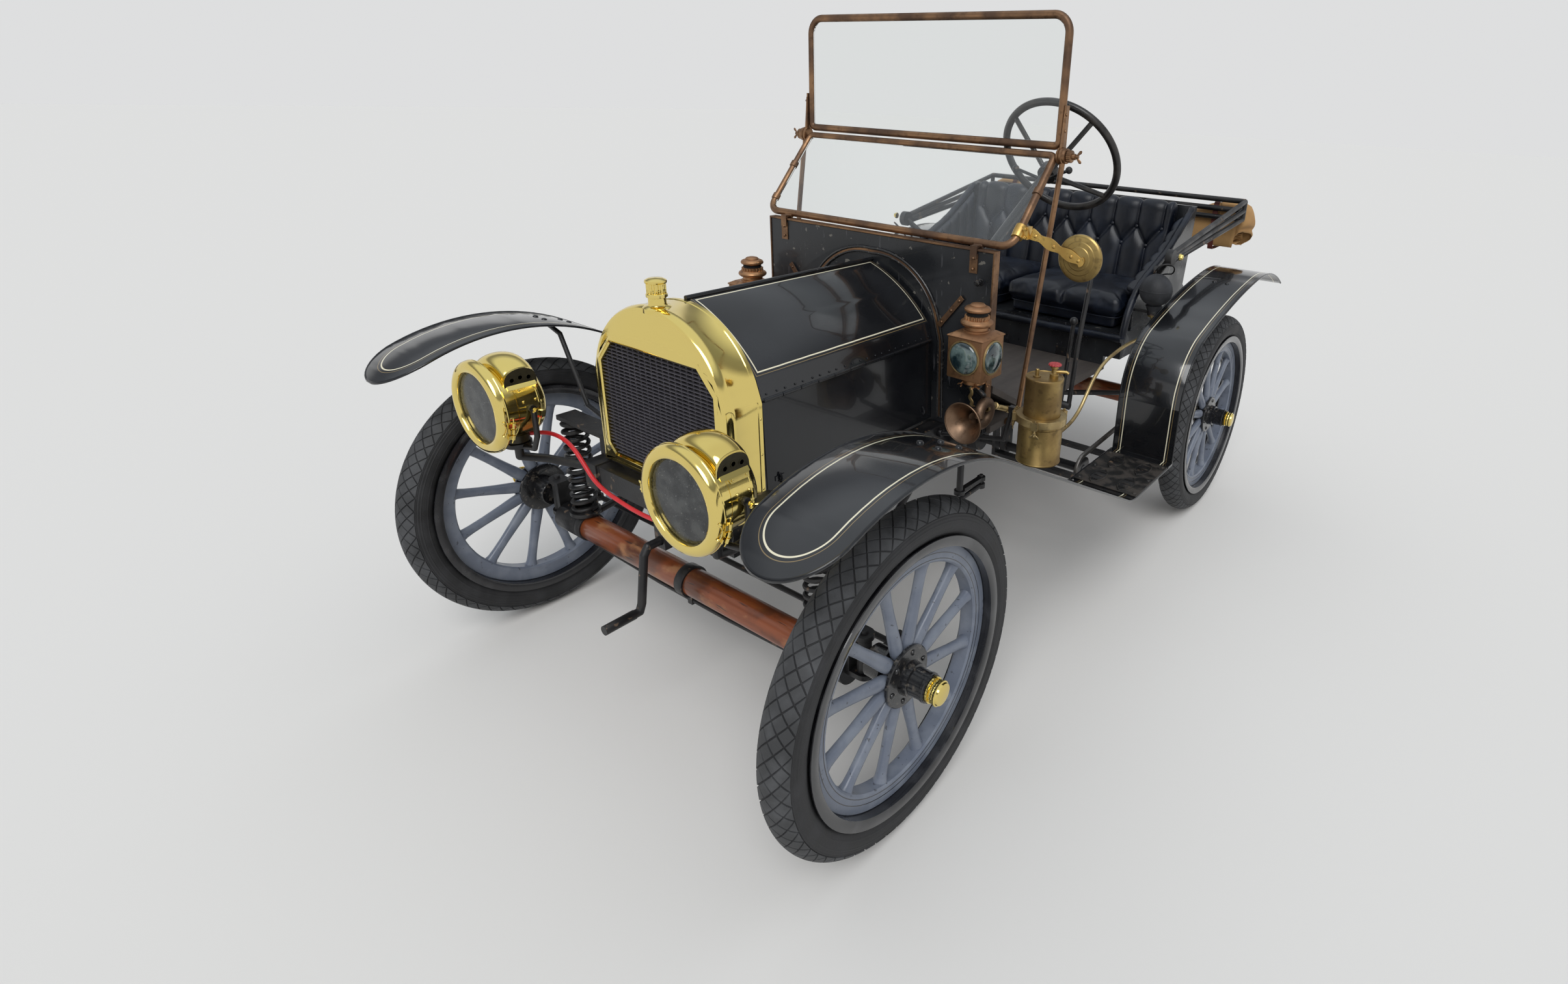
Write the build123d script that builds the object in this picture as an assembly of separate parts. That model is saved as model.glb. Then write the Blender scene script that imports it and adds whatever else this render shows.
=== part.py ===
from build123d import *
import math
import os

# A light two-seat open runabout of the brass era. Millimetres. +Z is up, the car faces -Y, and +X is
# its left side. Places along the car are measured back from the front axle, and everything is moved by
# front_axle_y at the end, so that the origin lies on the ground under the middle of the whole car.
os.makedirs("parts", exist_ok=True)

# Overall
wheelbase = 2032.0
track = 1422.0
front_overhang = 395.0
rear_overhang = 560.0

# Fits
running_fit = 0.05
seat_gap = 0.3

# Wheels: radii from the hub centre, widths across the wheel
tyre_radius = 406.0
front_axle_y = -(wheelbase + rear_overhang - max(front_overhang, tyre_radius)) / 2
tyre_section = 96.0
rim_radius = 318.0
rim_thickness = 13.0
rim_width = 88.0
rim_lip = 12.0
rim_lip_thickness = 4.0
felloe_depth = 44.0
felloe_width = 42.0
spoke_count = 12
spoke_wide = 35.0
spoke_thick = 27.0
hub_flange_radius = 73.0
hub_flange_thickness = 8.0
hub_barrel_radius = 33.0
hub_cap_radius = 27.0
hub_cap_reach = 115.0
hub_cap_length = 30.0
hub_collar_radius = 39.0
spindle_radius = 16.0
hub_inner_front = 78.0
hub_inner_rear = 132.0
sprocket_radius = 125.0
sprocket_thickness = 10.0

# Axles
beam_radius = 38.0
beam_half = 520.0
front_beam_z = 352.0
sleeve_radius = 43.0
kingpin_inset = 104.0
kingpin_radius = 9.0
knuckle_radius = 17.0
yoke_arm = 13.0
yoke_width = 46.0
steering_arm = 130.0
rod_radius = 8.0
tie_rod_drop = 30.0

# Chassis
rail_x = 265.0
rail_width = 50.0
rail_top = 650.0
rail_height = 75.0
rail_front = -90.0
rail_rear = 2190.0
spring_x = 470.0
spring_radius = 38.0
spring_wire = 12.0
spring_top = 690.0
hanger_thickness = 14.0
body_foot_z = 706.0
jackshaft_y = 1150.0
jackshaft_z = 440.0
small_sprocket_radius = 42.0
chain_height = 14.0
chain_width = 11.0

# Hood and radiator: half widths and heights
hood_crown_z = 1115.0
hood_shoulder_x = 226.0
hood_shoulder_z = 960.0
hood_hinge_x = 243.0
hood_hinge_z = 909.0
hood_bottom_x = 250.0
hood_bottom_z = 664.0
hood_sag = 20.0
hood_front_y = 58.0
hood_rear_y = 738.0
sheet = 3.0
hood_rod_radius = 6.0
hood_rod_rise = 3.0
hood_edge_z = hood_crown_z - 4
radiator_front_y = -55.0
radiator_rear_y = 52.0
radiator_bottom_z = 655.0
radiator_half = 250.0
core_half = 210.0
core_top_half = 160.0
core_top_z = 996.0
core_shoulder_z = 940.0
core_bottom_z = 690.0
core_foot_half = 185.0
core_foot_z = 716.0
filler_radius = 23.0

# Dash and windscreen
dash_y = 749.0
dash_thickness = 22.0
dash_half = 429.0
dash_top_z = 1188.0
screen_tube = 11.0
screen_half = 468.0
screen_foot_y = 778.0
screen_foot_z = 1207.0
screen_hinge_y = 996.0
screen_hinge_z = 1452.0
screen_top_z = 1800.0
glass_thickness = 6.0

# Body
floor_z = 672.0
floor_half = 440.0
board = 20.0
toe_top_z = 800.0
toe_foot_y = 1000.0
seat_front_y = 1560.0
seat_back_y = 2080.0
seat_half = 505.0
seat_box_top = 810.0
cushion_thickness = 128.0
seat_wall = 15.0
back_top_z = 1222.0
deck_rear_y = 2440.0

# Fenders and steps
fender_inner = 600.0
fender_outer = 822.0
fender_sheet = 4.0
fender_tip_z = 850.0
fender_crest_end = (215.0, 872.0)
fender_slope = 0.529
step_front_y = 1035.0
step_rear_y = 1345.0
step_z = 455.0
step_thickness = 4.0

# Steering: the wheel's centre, its dish and the rake of its column
steering_x = 320.0
steering_y = 1308.0
steering_z = 1413.0
steering_rake = 32.0
steering_rim_radius = 195.0
steering_rim_tube = 12.0
steering_dish = 92.0
column_radius = 16.0
gear_y = 812.0

# Lamps, horn and generator
headlamp_x = 380.0
headlamp_y = -300.0
headlamp_z = 835.0
headlamp_ring = 118.0
headlamp_glass = 90.0
headlamp_body = 92.0
headlamp_depth = 150.0
side_lamp_x = 440.0
side_lamp_y = 666.0
side_lamp_z = 925.0
side_lamp_side = 112.0
side_lamp_height = 128.0
generator_x = 630.0
generator_y = 725.0
generator_foot_z = 640.0
generator_radius = 63.0
generator_height = 250.0


nodes = {}


def keep(name, shape):
    """Move a piece into the car's own frame and keep it under its node name."""
    nodes[name] = Pos(0, front_axle_y, 0) * shape


def both(shape):
    """A piece on the car's left with its mirror image on the right, as two solids."""
    return Compound(children=[*shape.solids(), *mirror(shape, about=Plane.YZ).solids()])


def group(shapes):
    """Several solids that share a node and do not touch."""
    return Compound(children=[solid for shape in shapes for solid in shape.solids()])


def block(x0, x1, y0, y1, z0, z1):
    """A box between two corners."""
    return Pos((x0 + x1) / 2, (y0 + y1) / 2, (z0 + z1) / 2) * Box(x1 - x0, y1 - y0, z1 - z0)


def rod(start, end, radius):
    """A round bar between two points."""
    line = Vector(*end) - Vector(*start)
    return Plane(origin=start, z_dir=line) * extrude(Circle(radius), line.length)


def bent_rod(points, radius):
    """Round bars through a few points, with a ball at each corner."""
    shape = rod(points[0], points[1], radius)
    for start, end in zip(points[1:], points[2:]):
        shape += Pos(*start) * Sphere(radius)
        shape += rod(start, end, radius)
    return shape


def across(x0, x1, y, z, radius):
    """A round bar that lies across the car."""
    return rod((x0, y, z), (x1, y, z), radius)


def side_plate(outline, x0, x1):
    """A flat plate from its outline seen from the side, as (y, z) points, between two places across the car."""
    face = make_face(Polyline(*[(0, y, z) for y, z in outline], close=True))
    return Pos(x0, 0, 0) * extrude(face, x1 - x0, dir=(1, 0, 0))


def cross_plate(outline, y0, y1):
    """A flat plate from its outline seen from the front, as (x, z) points, between two places along the car."""
    face = make_face(Polyline(*[(x, 0, z) for x, z in outline], close=True))
    return Pos(0, y0, 0) * extrude(face, y1 - y0, dir=(0, 1, 0))


# Wheels, built about the X axis with the outer side towards +X
def ring(inner, outer, x0, x1):
    """A ring about the X axis."""
    tube = Circle(outer) - Circle(inner) if inner > 0 else Circle(outer)
    return Plane(origin=(x0, 0, 0), z_dir=(1, 0, 0)) * extrude(tube, x1 - x0)


def make_tyre():
    centre = tyre_radius - tyre_section / 2
    section = Pos(0, centre) * Circle(tyre_section / 2)
    section -= Pos(0, rim_radius / 2) * Rectangle(tyre_section, rim_radius + 2 * seat_gap)
    return revolve(Plane.XY * section, Axis.X)


def make_rim():
    """The steel rim with its two lips, on the wooden felloe."""
    half_rim = rim_width / 2
    felloe_outer = rim_radius - rim_thickness
    rim = ring(felloe_outer, rim_radius, -half_rim, half_rim)
    for side in (-half_rim, half_rim - rim_lip_thickness):
        rim += ring(rim_radius - 1, rim_radius + rim_lip, side, side + rim_lip_thickness)
    return rim + ring(felloe_outer - felloe_depth, felloe_outer + 1, -felloe_width / 2, felloe_width / 2)


def make_spokes():
    """The oval spokes, from the hub's flanges to just inside the felloe."""
    felloe_inner = rim_radius - rim_thickness - felloe_depth
    start = hub_flange_radius + seat_gap
    end = math.sqrt((felloe_inner - seat_gap) ** 2 - (spoke_wide / 2) ** 2)
    spoke = Pos(0, 0, start) * extrude(Ellipse(spoke_thick / 2, spoke_wide / 2), end - start)
    return [Rot(X=360 / spoke_count * (index + 0.5)) * spoke for index in range(spoke_count)]


def make_hub(inner_reach, sprocket):
    half_flange = spoke_thick / 2 + hub_flange_thickness - 1
    bore_end = hub_cap_reach - hub_cap_length
    hub = ring(0, hub_flange_radius, -half_flange, half_flange)
    hub += ring(0, hub_collar_radius, -inner_reach, felloe_width)
    hub += ring(0, hub_barrel_radius, 0, bore_end)
    hub += ring(0, hub_cap_radius, 0, hub_cap_reach)
    if sprocket:
        hub += ring(0, sprocket_radius, -inner_reach, -inner_reach + sprocket_thickness)
    return hub - ring(0, spindle_radius + running_fit, -inner_reach - 1, bore_end)


wheel_places = [
    # name, x, y, reach of the hub towards the car, has a chain sprocket
    ("front_left", track / 2, 0.0, hub_inner_front, False),
    ("front_right", -track / 2, 0.0, hub_inner_front, False),
    ("rear_left", track / 2, wheelbase, hub_inner_rear, True),
    ("rear_right", -track / 2, wheelbase, hub_inner_rear, True),
]
tyre = make_tyre()
for name, x, y, inner_reach, sprocket in wheel_places:
    wheel = group([make_rim(), *make_spokes(), make_hub(inner_reach, sprocket)])
    place = Pos(x, y, tyre_radius)
    if x < 0:
        wheel = mirror(wheel, about=Plane.YZ)
    keep(name + "_wheel", place * wheel)
    keep(name + "_tyre", place * tyre)


# Front axle: a round wooden beam in cast end sleeves, each with a yoke for its steering knuckle
kingpin_x = track / 2 - kingpin_inset
yoke_top = tyre_radius + 46
yoke_bottom = front_beam_z - 4
pin_eye = kingpin_radius + running_fit


def make_front_sleeve():
    sleeve = across(beam_half - 45, kingpin_x - 36, 0, front_beam_z, sleeve_radius)
    sleeve += block(kingpin_x - 40, kingpin_x - 26, -yoke_width / 2, yoke_width / 2,
                    yoke_bottom, yoke_top + yoke_arm)
    for z in (yoke_bottom, yoke_top):
        sleeve += block(kingpin_x - 40, kingpin_x, -yoke_width / 2, yoke_width / 2, z, z + yoke_arm)
        sleeve += Pos(kingpin_x, 0, z + yoke_arm / 2) * Cylinder(yoke_width / 2, yoke_arm)
    sleeve -= Pos(kingpin_x, 0, tyre_radius) * Cylinder(pin_eye, 400)
    sleeve -= across(beam_half - 60, beam_half + seat_gap, 0, front_beam_z, beam_radius + seat_gap)
    return sleeve


def make_rear_sleeve():
    hub_end = track / 2 - hub_inner_rear - 2
    sleeve = across(beam_half - 45, hub_end, 0, tyre_radius, sleeve_radius)
    sleeve -= across(beam_half - 60, beam_half + seat_gap, 0, tyre_radius, beam_radius + seat_gap)
    sleeve += across(hub_end - 1, track / 2 + hub_cap_reach - 45, 0, tyre_radius, spindle_radius)
    return Pos(0, wheelbase, 0) * sleeve


def make_knuckle(arm_side):
    """The left knuckle: kingpin, spindle and a steering arm that points back along the car."""
    body_bottom = yoke_bottom + yoke_arm + 1
    body_top = yoke_top - 1
    middle = (body_bottom + body_top) / 2
    knuckle = Pos(kingpin_x, 0, middle) * Cylinder(knuckle_radius, body_top - body_bottom)
    pin_bottom, pin_top = yoke_bottom - 8, yoke_top + yoke_arm + 8
    knuckle += Pos(kingpin_x, 0, (pin_bottom + pin_top) / 2) * Cylinder(kingpin_radius, pin_top - pin_bottom)
    knuckle += across(kingpin_x, track / 2 + hub_cap_reach - 45, 0, tyre_radius, spindle_radius)
    arm_z = body_bottom + 16
    arm = block(kingpin_x - 9, kingpin_x + 9, 0, steering_arm, arm_z - 6, arm_z + 6)
    arm += Pos(kingpin_x, steering_arm, arm_z) * Cylinder(14, 12)
    arm -= Pos(kingpin_x, steering_arm, arm_z) * Cylinder(6 + running_fit, 30)
    return knuckle + arm if arm_side else knuckle


tie_rod_z = yoke_bottom + yoke_arm + 17 - tie_rod_drop
keep("axle_beams", group([across(-beam_half, beam_half, 0, front_beam_z, beam_radius),
                          across(-beam_half, beam_half, wheelbase, tyre_radius, beam_radius)]))
truss_z = front_beam_z - 62
truss = bent_rod([(beam_half + 12, 0, front_beam_z - 47), (140, 0, truss_z), (-140, 0, truss_z),
                  (-beam_half - 12, 0, front_beam_z - 47)], 6)
clamp = Pos(0, 0, front_beam_z) * Rot(Y=90) * (Cylinder(beam_radius + 6, 30)
                                             - Cylinder(beam_radius + seat_gap, 40))
clamp += block(-9, 9, -8, 8, truss_z - 10, front_beam_z - beam_radius - 2)
front_sleeve = make_front_sleeve()
front_irons = front_sleeve + mirror(front_sleeve, about=Plane.YZ) + truss + clamp
keep("axle_irons", group([front_irons, both(make_rear_sleeve())]))
left_knuckle = make_knuckle(True)
keep("left_knuckle", left_knuckle)
keep("right_knuckle", mirror(left_knuckle, about=Plane.YZ))

# Tie rod behind the axle, and the drag link that moves it from the arm under the steering gear
link_x = steering_x + 24
tie_rod = across(-kingpin_x, kingpin_x, steering_arm, tie_rod_z, rod_radius)
for x in (-kingpin_x, kingpin_x):
    tie_rod += Pos(x, steering_arm, tie_rod_z) * Cylinder(13, 18)
    tie_rod += Pos(x, steering_arm, tie_rod_z + 22) * Cylinder(6, 46)
link_z = tie_rod_z + 26
tie_rod += Pos(link_x, steering_arm, tie_rod_z + 20) * Cylinder(6, 42)
keep("tie_rod", tie_rod)
drag_link = rod((link_x, steering_arm, link_z), (steering_x, gear_y + steering_arm, link_z), rod_radius)
for x, y in ((link_x, steering_arm), (steering_x, gear_y + steering_arm)):
    drag_link += Pos(x, y, link_z) * Cylinder(14, 16)
drag_link -= Pos(link_x, steering_arm, link_z) * Cylinder(6 + running_fit, 40)
drag_link += Pos(steering_x, gear_y + steering_arm, link_z + 20) * Cylinder(6, 40)
keep("drag_link", drag_link)
pitman_z = link_z + 26
shaft_foot = pitman_z - 14
pitman = block(steering_x - 9, steering_x + 9, gear_y, gear_y + steering_arm, pitman_z - 7, pitman_z + 7)
pitman += Pos(steering_x, gear_y + steering_arm, pitman_z) * Cylinder(14, 14)
pitman -= Pos(steering_x, gear_y + steering_arm, pitman_z) * Cylinder(6 + running_fit, 30)
pitman += Pos(steering_x, gear_y, pitman_z) * Cylinder(18, 14)
pitman += Pos(steering_x, gear_y, pitman_z + 60) * Cylinder(11, 120)
keep("pitman_arm", pitman)


# Chassis frame: two rails, cross members, the spring hangers and the jackshaft bearings
def make_frame():
    frame = block(rail_x - rail_width / 2, rail_x + rail_width / 2, rail_front, rail_rear,
                  rail_top - rail_height, rail_top)
    frame += mirror(frame, about=Plane.YZ)
    for y in (rail_front + 30, 520, toe_foot_y - 60, seat_front_y, rail_rear - 30):
        frame += block(-rail_x, rail_x, y - 22, y + 22, rail_top - rail_height + 10, rail_top - 6)
    outer = rail_x + rail_width / 2
    for y in (0, wheelbase):
        for side in (-1, 1):
            hanger = block(outer - 10, outer + 12, y - 30, y + 30, rail_top - rail_height,
                           spring_top + hanger_thickness)
            hanger += block(outer - 10, spring_x + spring_radius, y - 30, y + 30, spring_top,
                            spring_top + hanger_thickness)
            frame += hanger if side > 0 else mirror(hanger, about=Plane.YZ)
    for side in (-1, 1):
        frame += block(side * rail_x - 20, side * rail_x + 20, seat_front_y + seat_gap, rail_rear, rail_top - 1,
                       body_foot_z)
    for side in (-1, 1):
        bearing = block(outer - 12, outer + 8, jackshaft_y - 26, jackshaft_y + 26, jackshaft_z - 26,
                        rail_top - 20)
        bearing -= across(outer - 20, outer + 20, jackshaft_y, jackshaft_z, 15 + seat_gap)
        frame += bearing if side > 0 else mirror(bearing, about=Plane.YZ)
    return frame


keep("chassis_frame", make_frame())


def make_spring(y, foot_z):
    """The outline of a coil spring: a sleeve with a rounded turn for each coil."""
    turns = 7
    top = spring_top - seat_gap
    pitch = (top - foot_z) / turns
    spring = Cylinder(spring_radius - spring_wire / 2, top - foot_z)
    for turn in range(turns):
        height = pitch * (turn + 0.5) - (top - foot_z) / 2
        spring += Pos(0, 0, height) * Torus(spring_radius - spring_wire / 2, spring_wire / 2)
    spring -= Cylinder(spring_radius - spring_wire, 2 * (top - foot_z))
    return Pos(spring_x, y, (top + foot_z) / 2) * spring


spring_seat_rise = sleeve_radius + seat_gap + 12
keep("coil_springs", both(group([make_spring(0, front_beam_z + spring_seat_rise),
                           make_spring(wheelbase, tyre_radius + spring_seat_rise)])))


# Radius rods from the axles to the rails, and the irons that carry the fenders and the steps
def make_spring_seat(y, beam_z):
    seat = Pos(spring_x, y, beam_z + spring_seat_rise - 6 - seat_gap) * Cylinder(spring_radius + 6, 12 - seat_gap)
    saddle = across(spring_x - 22, spring_x + 4, y, beam_z, beam_radius + 5)
    saddle -= across(spring_x - 30, spring_x + 30, y, beam_z, beam_radius + seat_gap)
    seat += Pos(spring_x - 9, y, beam_z + beam_radius + 6) * Box(26, 50, 12)
    return seat + saddle


def make_radius_rod(y, beam_z, frame_y):
    start = (spring_x - 10, y + math.copysign(30, frame_y - y), beam_z + beam_radius - 2)
    end = (rail_x + rail_width / 2 + 10 + seat_gap, frame_y, rail_top - rail_height + 18)
    return rod(start, end, 10)


irons = group([make_spring_seat(0, front_beam_z) + make_radius_rod(0, front_beam_z, 700),
               make_spring_seat(wheelbase, tyre_radius) + make_radius_rod(wheelbase, tyre_radius, 1330)])
keep("radius_rods", both(irons))

fender_middle = (fender_inner + fender_outer) / 2
fender_bend_y = step_front_y - 60
fender_bend_z = fender_crest_end[1] - fender_slope * (fender_bend_y - fender_crest_end[0])


def fender_line_z(y):
    """Height of the front fender's straight slope."""
    return fender_crest_end[1] - fender_slope * (y - fender_crest_end[0])


def make_fender_path():
    slope = Vector(-1, fender_slope).normalized()
    crest = TangentArc((fender_crest_end[0], fender_crest_end[1]), (-front_overhang, fender_tip_z),
                       tangent=(slope.X, slope.Y))
    fall = Line(fender_crest_end, (fender_bend_y, fender_bend_z))
    foot = TangentArc((fender_bend_y, fender_bend_z), (step_front_y, step_z),
                      tangent=(-slope.X, -slope.Y))
    flat = Line((step_front_y, step_z), (step_rear_y, step_z))
    return crest, fall, foot, flat


def sheet_from(edges, thickness, x0, x1):
    """A sheet whose middle line is given as (y, z) edges, across the car from x0 to x1."""
    face = trace(edges, line_width=thickness)
    upright = Plane(origin=(x0, 0, 0), x_dir=(0, 1, 0), z_dir=(1, 0, 0))
    return extrude(upright * face, x1 - x0, dir=(1, 0, 0))


def make_front_fender():
    fender = None
    for edge in make_fender_path():
        piece = sheet_from([edge], fender_sheet, fender_inner, fender_outer)
        fender = piece if fender is None else fender + piece
    half = (fender_outer - fender_inner) / 2
    plan = Pos(fender_middle, (step_rear_y - front_overhang + half) / 2) * Rectangle(
        2 * half, step_rear_y + front_overhang - half)
    plan += Pos(fender_middle, -front_overhang + half) * Circle(half)
    return fender & (Pos(0, 0, step_z - 100) * extrude(plan, 1000))


rear_foot = (step_rear_y - 4, step_z + fender_sheet / 2 + seat_gap)
rear_foot_length = 34.0
rear_bend = (step_rear_y - 4, 650.0)
rear_shoulder = (1496.0, 861.0)
rear_crest = (2060.0, 975.0)
rear_tail = (2440.0, 900.0)


def make_rear_fender():
    rise = Line(rear_foot, rear_bend)
    bend = TangentArc(rear_bend, rear_shoulder, tangent=(0, 1))
    back = TangentArc(rear_shoulder, rear_crest, tangent=tuple(bend % 1)[:2])
    tail = TangentArc(rear_crest, rear_tail, tangent=tuple(back % 1)[:2])
    fender = None
    for edge in (rise, bend, back, tail):
        piece = sheet_from([edge], fender_sheet, fender_inner + 6, fender_outer)
        fender = piece if fender is None else fender + piece
    foot = block(fender_inner + 6, fender_outer, rear_foot[0] - rear_foot_length, rear_foot[0] + 2, rear_foot[1],
                 rear_foot[1] + fender_sheet)
    return fender + foot


keep("front_fenders", both(make_front_fender()))
keep("rear_fenders", both(make_rear_fender()))
step_top = step_z + fender_sheet / 2
step_plate_rear_y = rear_foot[0] - rear_foot_length - 2
keep("step_plates", both(block(fender_inner + 8, fender_outer - 2, step_front_y, step_plate_rear_y,
                               step_top, step_top + step_thickness)))

rail_side = rail_x + rail_width / 2
step_iron_z = step_z - fender_sheet / 2


def make_fender_irons():
    pieces = []
    for y in (step_front_y + 30, step_rear_y - 50):
        iron = block(rail_side, rail_side + 12, y - 15, y + 15, step_iron_z - 12, rail_top - 10)
        iron += block(rail_side, fender_outer - 20, y - 15, y + 15, step_iron_z - 12, step_iron_z)
        pieces.append(iron)
    arch = [
        # y, height of the iron's end under the sheet
        (90.0, 912.7),
        (1940.0, 952.3),
    ]
    for y, end_z in arch:
        iron = bent_rod([(rail_side + 6, y, rail_top - 20), (540, y, 690), (640, y, end_z - 22),
                         (fender_middle, y, end_z)], 7)
        pieces.append(iron + across(rail_side + seat_gap, rail_side + 12, y, rail_top - 20, 13))
    return group(pieces)


keep("fender_irons", both(make_fender_irons()))

# Chain drive: a jackshaft in the rails' bearings and a chain on each side to the rear hub's sprocket
sprocket_x = track / 2 - hub_inner_rear + sprocket_thickness / 2


def make_jackshaft():
    shaft = across(-sprocket_x - 8, sprocket_x + 8, jackshaft_y, jackshaft_z, 15)
    shaft += across(-130, 130, jackshaft_y, jackshaft_z, 105)
    shaft += across(-190, 190, jackshaft_y, jackshaft_z, 45)
    for x in (-sprocket_x, sprocket_x):
        shaft += across(x - sprocket_thickness / 2, x + sprocket_thickness / 2, jackshaft_y, jackshaft_z,
                        small_sprocket_radius)
    return shaft


def belt_outline(small, large, grow):
    """The outline of a loop round two pulleys, as (y, z) edges joined into a face."""
    (y1, z1, r1), (y2, z2, r2) = small, large
    r1, r2 = r1 + grow, r2 + grow
    length = math.hypot(y2 - y1, z2 - z1)
    lie = math.atan2(z2 - z1, y2 - y1)
    open_angle = math.acos((r1 - r2) / length)
    points = []
    for sign in (1, -1):
        angle = lie + sign * open_angle
        points.append(((y1 + r1 * math.cos(angle), z1 + r1 * math.sin(angle)),
                       (y2 + r2 * math.cos(angle), z2 + r2 * math.sin(angle))))
    (top1, top2), (low1, low2) = points
    far = (y2 + r2 * math.cos(lie), z2 + r2 * math.sin(lie))
    near = (y1 - r1 * math.cos(lie), z1 - r1 * math.sin(lie))
    wire = Line(top1, top2) + ThreePointArc(top2, far, low2) + Line(low2, low1) + ThreePointArc(low1, near, top1)
    return make_face(wire)


def make_chain():
    small = (jackshaft_y, jackshaft_z, small_sprocket_radius)
    large = (wheelbase, tyre_radius, sprocket_radius)
    loop = belt_outline(small, large, seat_gap + chain_height) - belt_outline(small, large, seat_gap)
    upright = Plane(origin=(sprocket_x - chain_width / 2, 0, 0), x_dir=(0, 1, 0), z_dir=(1, 0, 0))
    return extrude(upright * loop, chain_width, dir=(1, 0, 0))


keep("jackshaft", make_jackshaft())
keep("drive_chains", both(make_chain()))

# Engine: one plain upright cylinder block on its crankcase, between the rails under the hood
engine = block(-120, 120, 180, 490, 470, 700)
engine += Pos(0, 330, 830) * Cylinder(88, 270)
keep("engine", engine)


# Radiator: a polished shell round an eight-sided core, with the filler on its crown
def arch_outline(half, shoulder_x, shoulder_z, crown_z, sag, bottom_half, bottom_z):
    """An arched outline seen from the front, with the crown in the middle."""
    chord = math.hypot(shoulder_x, crown_z - shoulder_z)
    tilt_x, tilt_z = (crown_z - shoulder_z) / chord, shoulder_x / chord
    middle = (shoulder_x / 2 + sag * tilt_x, (crown_z + shoulder_z) / 2 + sag * tilt_z)
    right = ThreePointArc((0, crown_z), middle, (shoulder_x, shoulder_z))
    left = ThreePointArc((-shoulder_x, shoulder_z), (-middle[0], middle[1]), (0, crown_z))
    sides = Polyline((shoulder_x, shoulder_z), (half, shoulder_z - 52), (bottom_half, bottom_z),
                     (-bottom_half, bottom_z), (-half, shoulder_z - 52), (-shoulder_x, shoulder_z))
    return make_face(right + sides + left)


front_face = Plane(origin=(0, radiator_front_y, 0), x_dir=(1, 0, 0), z_dir=(0, -1, 0))


def radiator_outline(grow):
    return arch_outline(radiator_half + grow, hood_shoulder_x + 6 + grow, hood_shoulder_z + grow * 0.5,
                        hood_crown_z - 5 + grow, 42, radiator_half + grow, radiator_bottom_z - grow)


def core_outline(grow):
    points = [(core_top_half, core_top_z), (core_half, core_shoulder_z), (core_half, core_foot_z),
              (core_foot_half, core_bottom_z)]
    points = [(x + grow, z + grow if z > core_foot_z else z - grow) for x, z in points]
    mirrored = [(-x, z) for x, z in reversed(points)]
    return make_face(Polyline(*points, *mirrored, close=True))


def make_radiator_shell():
    depth = radiator_rear_y - radiator_front_y
    shell = extrude(front_face * radiator_outline(0), -depth)
    shell -= extrude(front_face * core_outline(0), -depth)
    shell += extrude(front_face * (core_outline(10) - core_outline(0)), 4)
    neck_y = radiator_front_y + 28
    shell += Pos(0, neck_y, hood_crown_z + 6) * Cylinder(filler_radius - 4, 30)
    shell += Pos(0, neck_y, hood_crown_z + 40) * Cylinder(filler_radius, 44)
    return shell


keep("radiator_shell", make_radiator_shell())
core_depth = radiator_rear_y - radiator_front_y - 40
keep("radiator_core", Pos(0, 14, 0) * extrude(front_face * core_outline(-seat_gap), -core_depth))

# Starting crank: its shaft runs back under the radiator through the front cross member
crank_z = 510.0
crank_radius = 11.0
grip_z = crank_z - 170
grip_front_y = -262.0
grip_rear_y = -176.0
grip_radius = 12.5
crank_bearing = block(-20, 20, rail_front + 8, rail_front + 30, crank_z - 22, rail_top - rail_height + 12)
crank_bearing -= rod((0, rail_front, crank_z), (0, rail_front + 40, crank_z), crank_radius + seat_gap)
nodes["chassis_frame"] = nodes["chassis_frame"] + Pos(0, front_axle_y, 0) * crank_bearing
crank = bent_rod([(0, 180 - seat_gap, crank_z), (0, -118, crank_z), (0, -132, crank_z - 20),
                  (0, -152, grip_z + 20), (0, -160, grip_z), (0, grip_rear_y - 10, grip_z)], crank_radius)
keep("starting_crank", crank + rod((0, grip_rear_y, grip_z), (0, grip_front_y, grip_z), grip_radius))


# Hood: each half is a curved top panel on the centre rod and a flat side panel on the shoulder hinge
def make_hood_top():
    chord = math.hypot(hood_shoulder_x, hood_crown_z - hood_shoulder_z)
    out_x, out_z = (hood_crown_z - hood_shoulder_z) / chord, hood_shoulder_x / chord

    def arc_middle(offset):
        return (hood_shoulder_x / 2 + (hood_sag + offset) * out_x,
                (hood_crown_z + hood_shoulder_z) / 2 + (hood_sag + offset) * out_z)
    start_x = math.sqrt((hood_rod_radius + seat_gap) ** 2 - hood_rod_rise ** 2)
    crown = (start_x, hood_edge_z)
    inner_crown = (start_x, hood_edge_z - sheet * 1.25)
    shoulder = (hood_shoulder_x, hood_shoulder_z)
    inner_shoulder = (hood_shoulder_x - out_x * sheet, hood_shoulder_z - out_z * sheet)
    outline = ThreePointArc(crown, arc_middle(0), shoulder)
    outline += Polyline(shoulder, (hood_hinge_x, hood_hinge_z), (hood_hinge_x - sheet, hood_hinge_z),
                        inner_shoulder)
    outline += ThreePointArc(inner_shoulder, arc_middle(-sheet), inner_crown) + Line(inner_crown, crown)
    facing = Plane(origin=(0, hood_front_y, 0), x_dir=(1, 0, 0), z_dir=(0, -1, 0))
    return extrude(facing * make_face(outline), -(hood_rear_y - hood_front_y))


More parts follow.
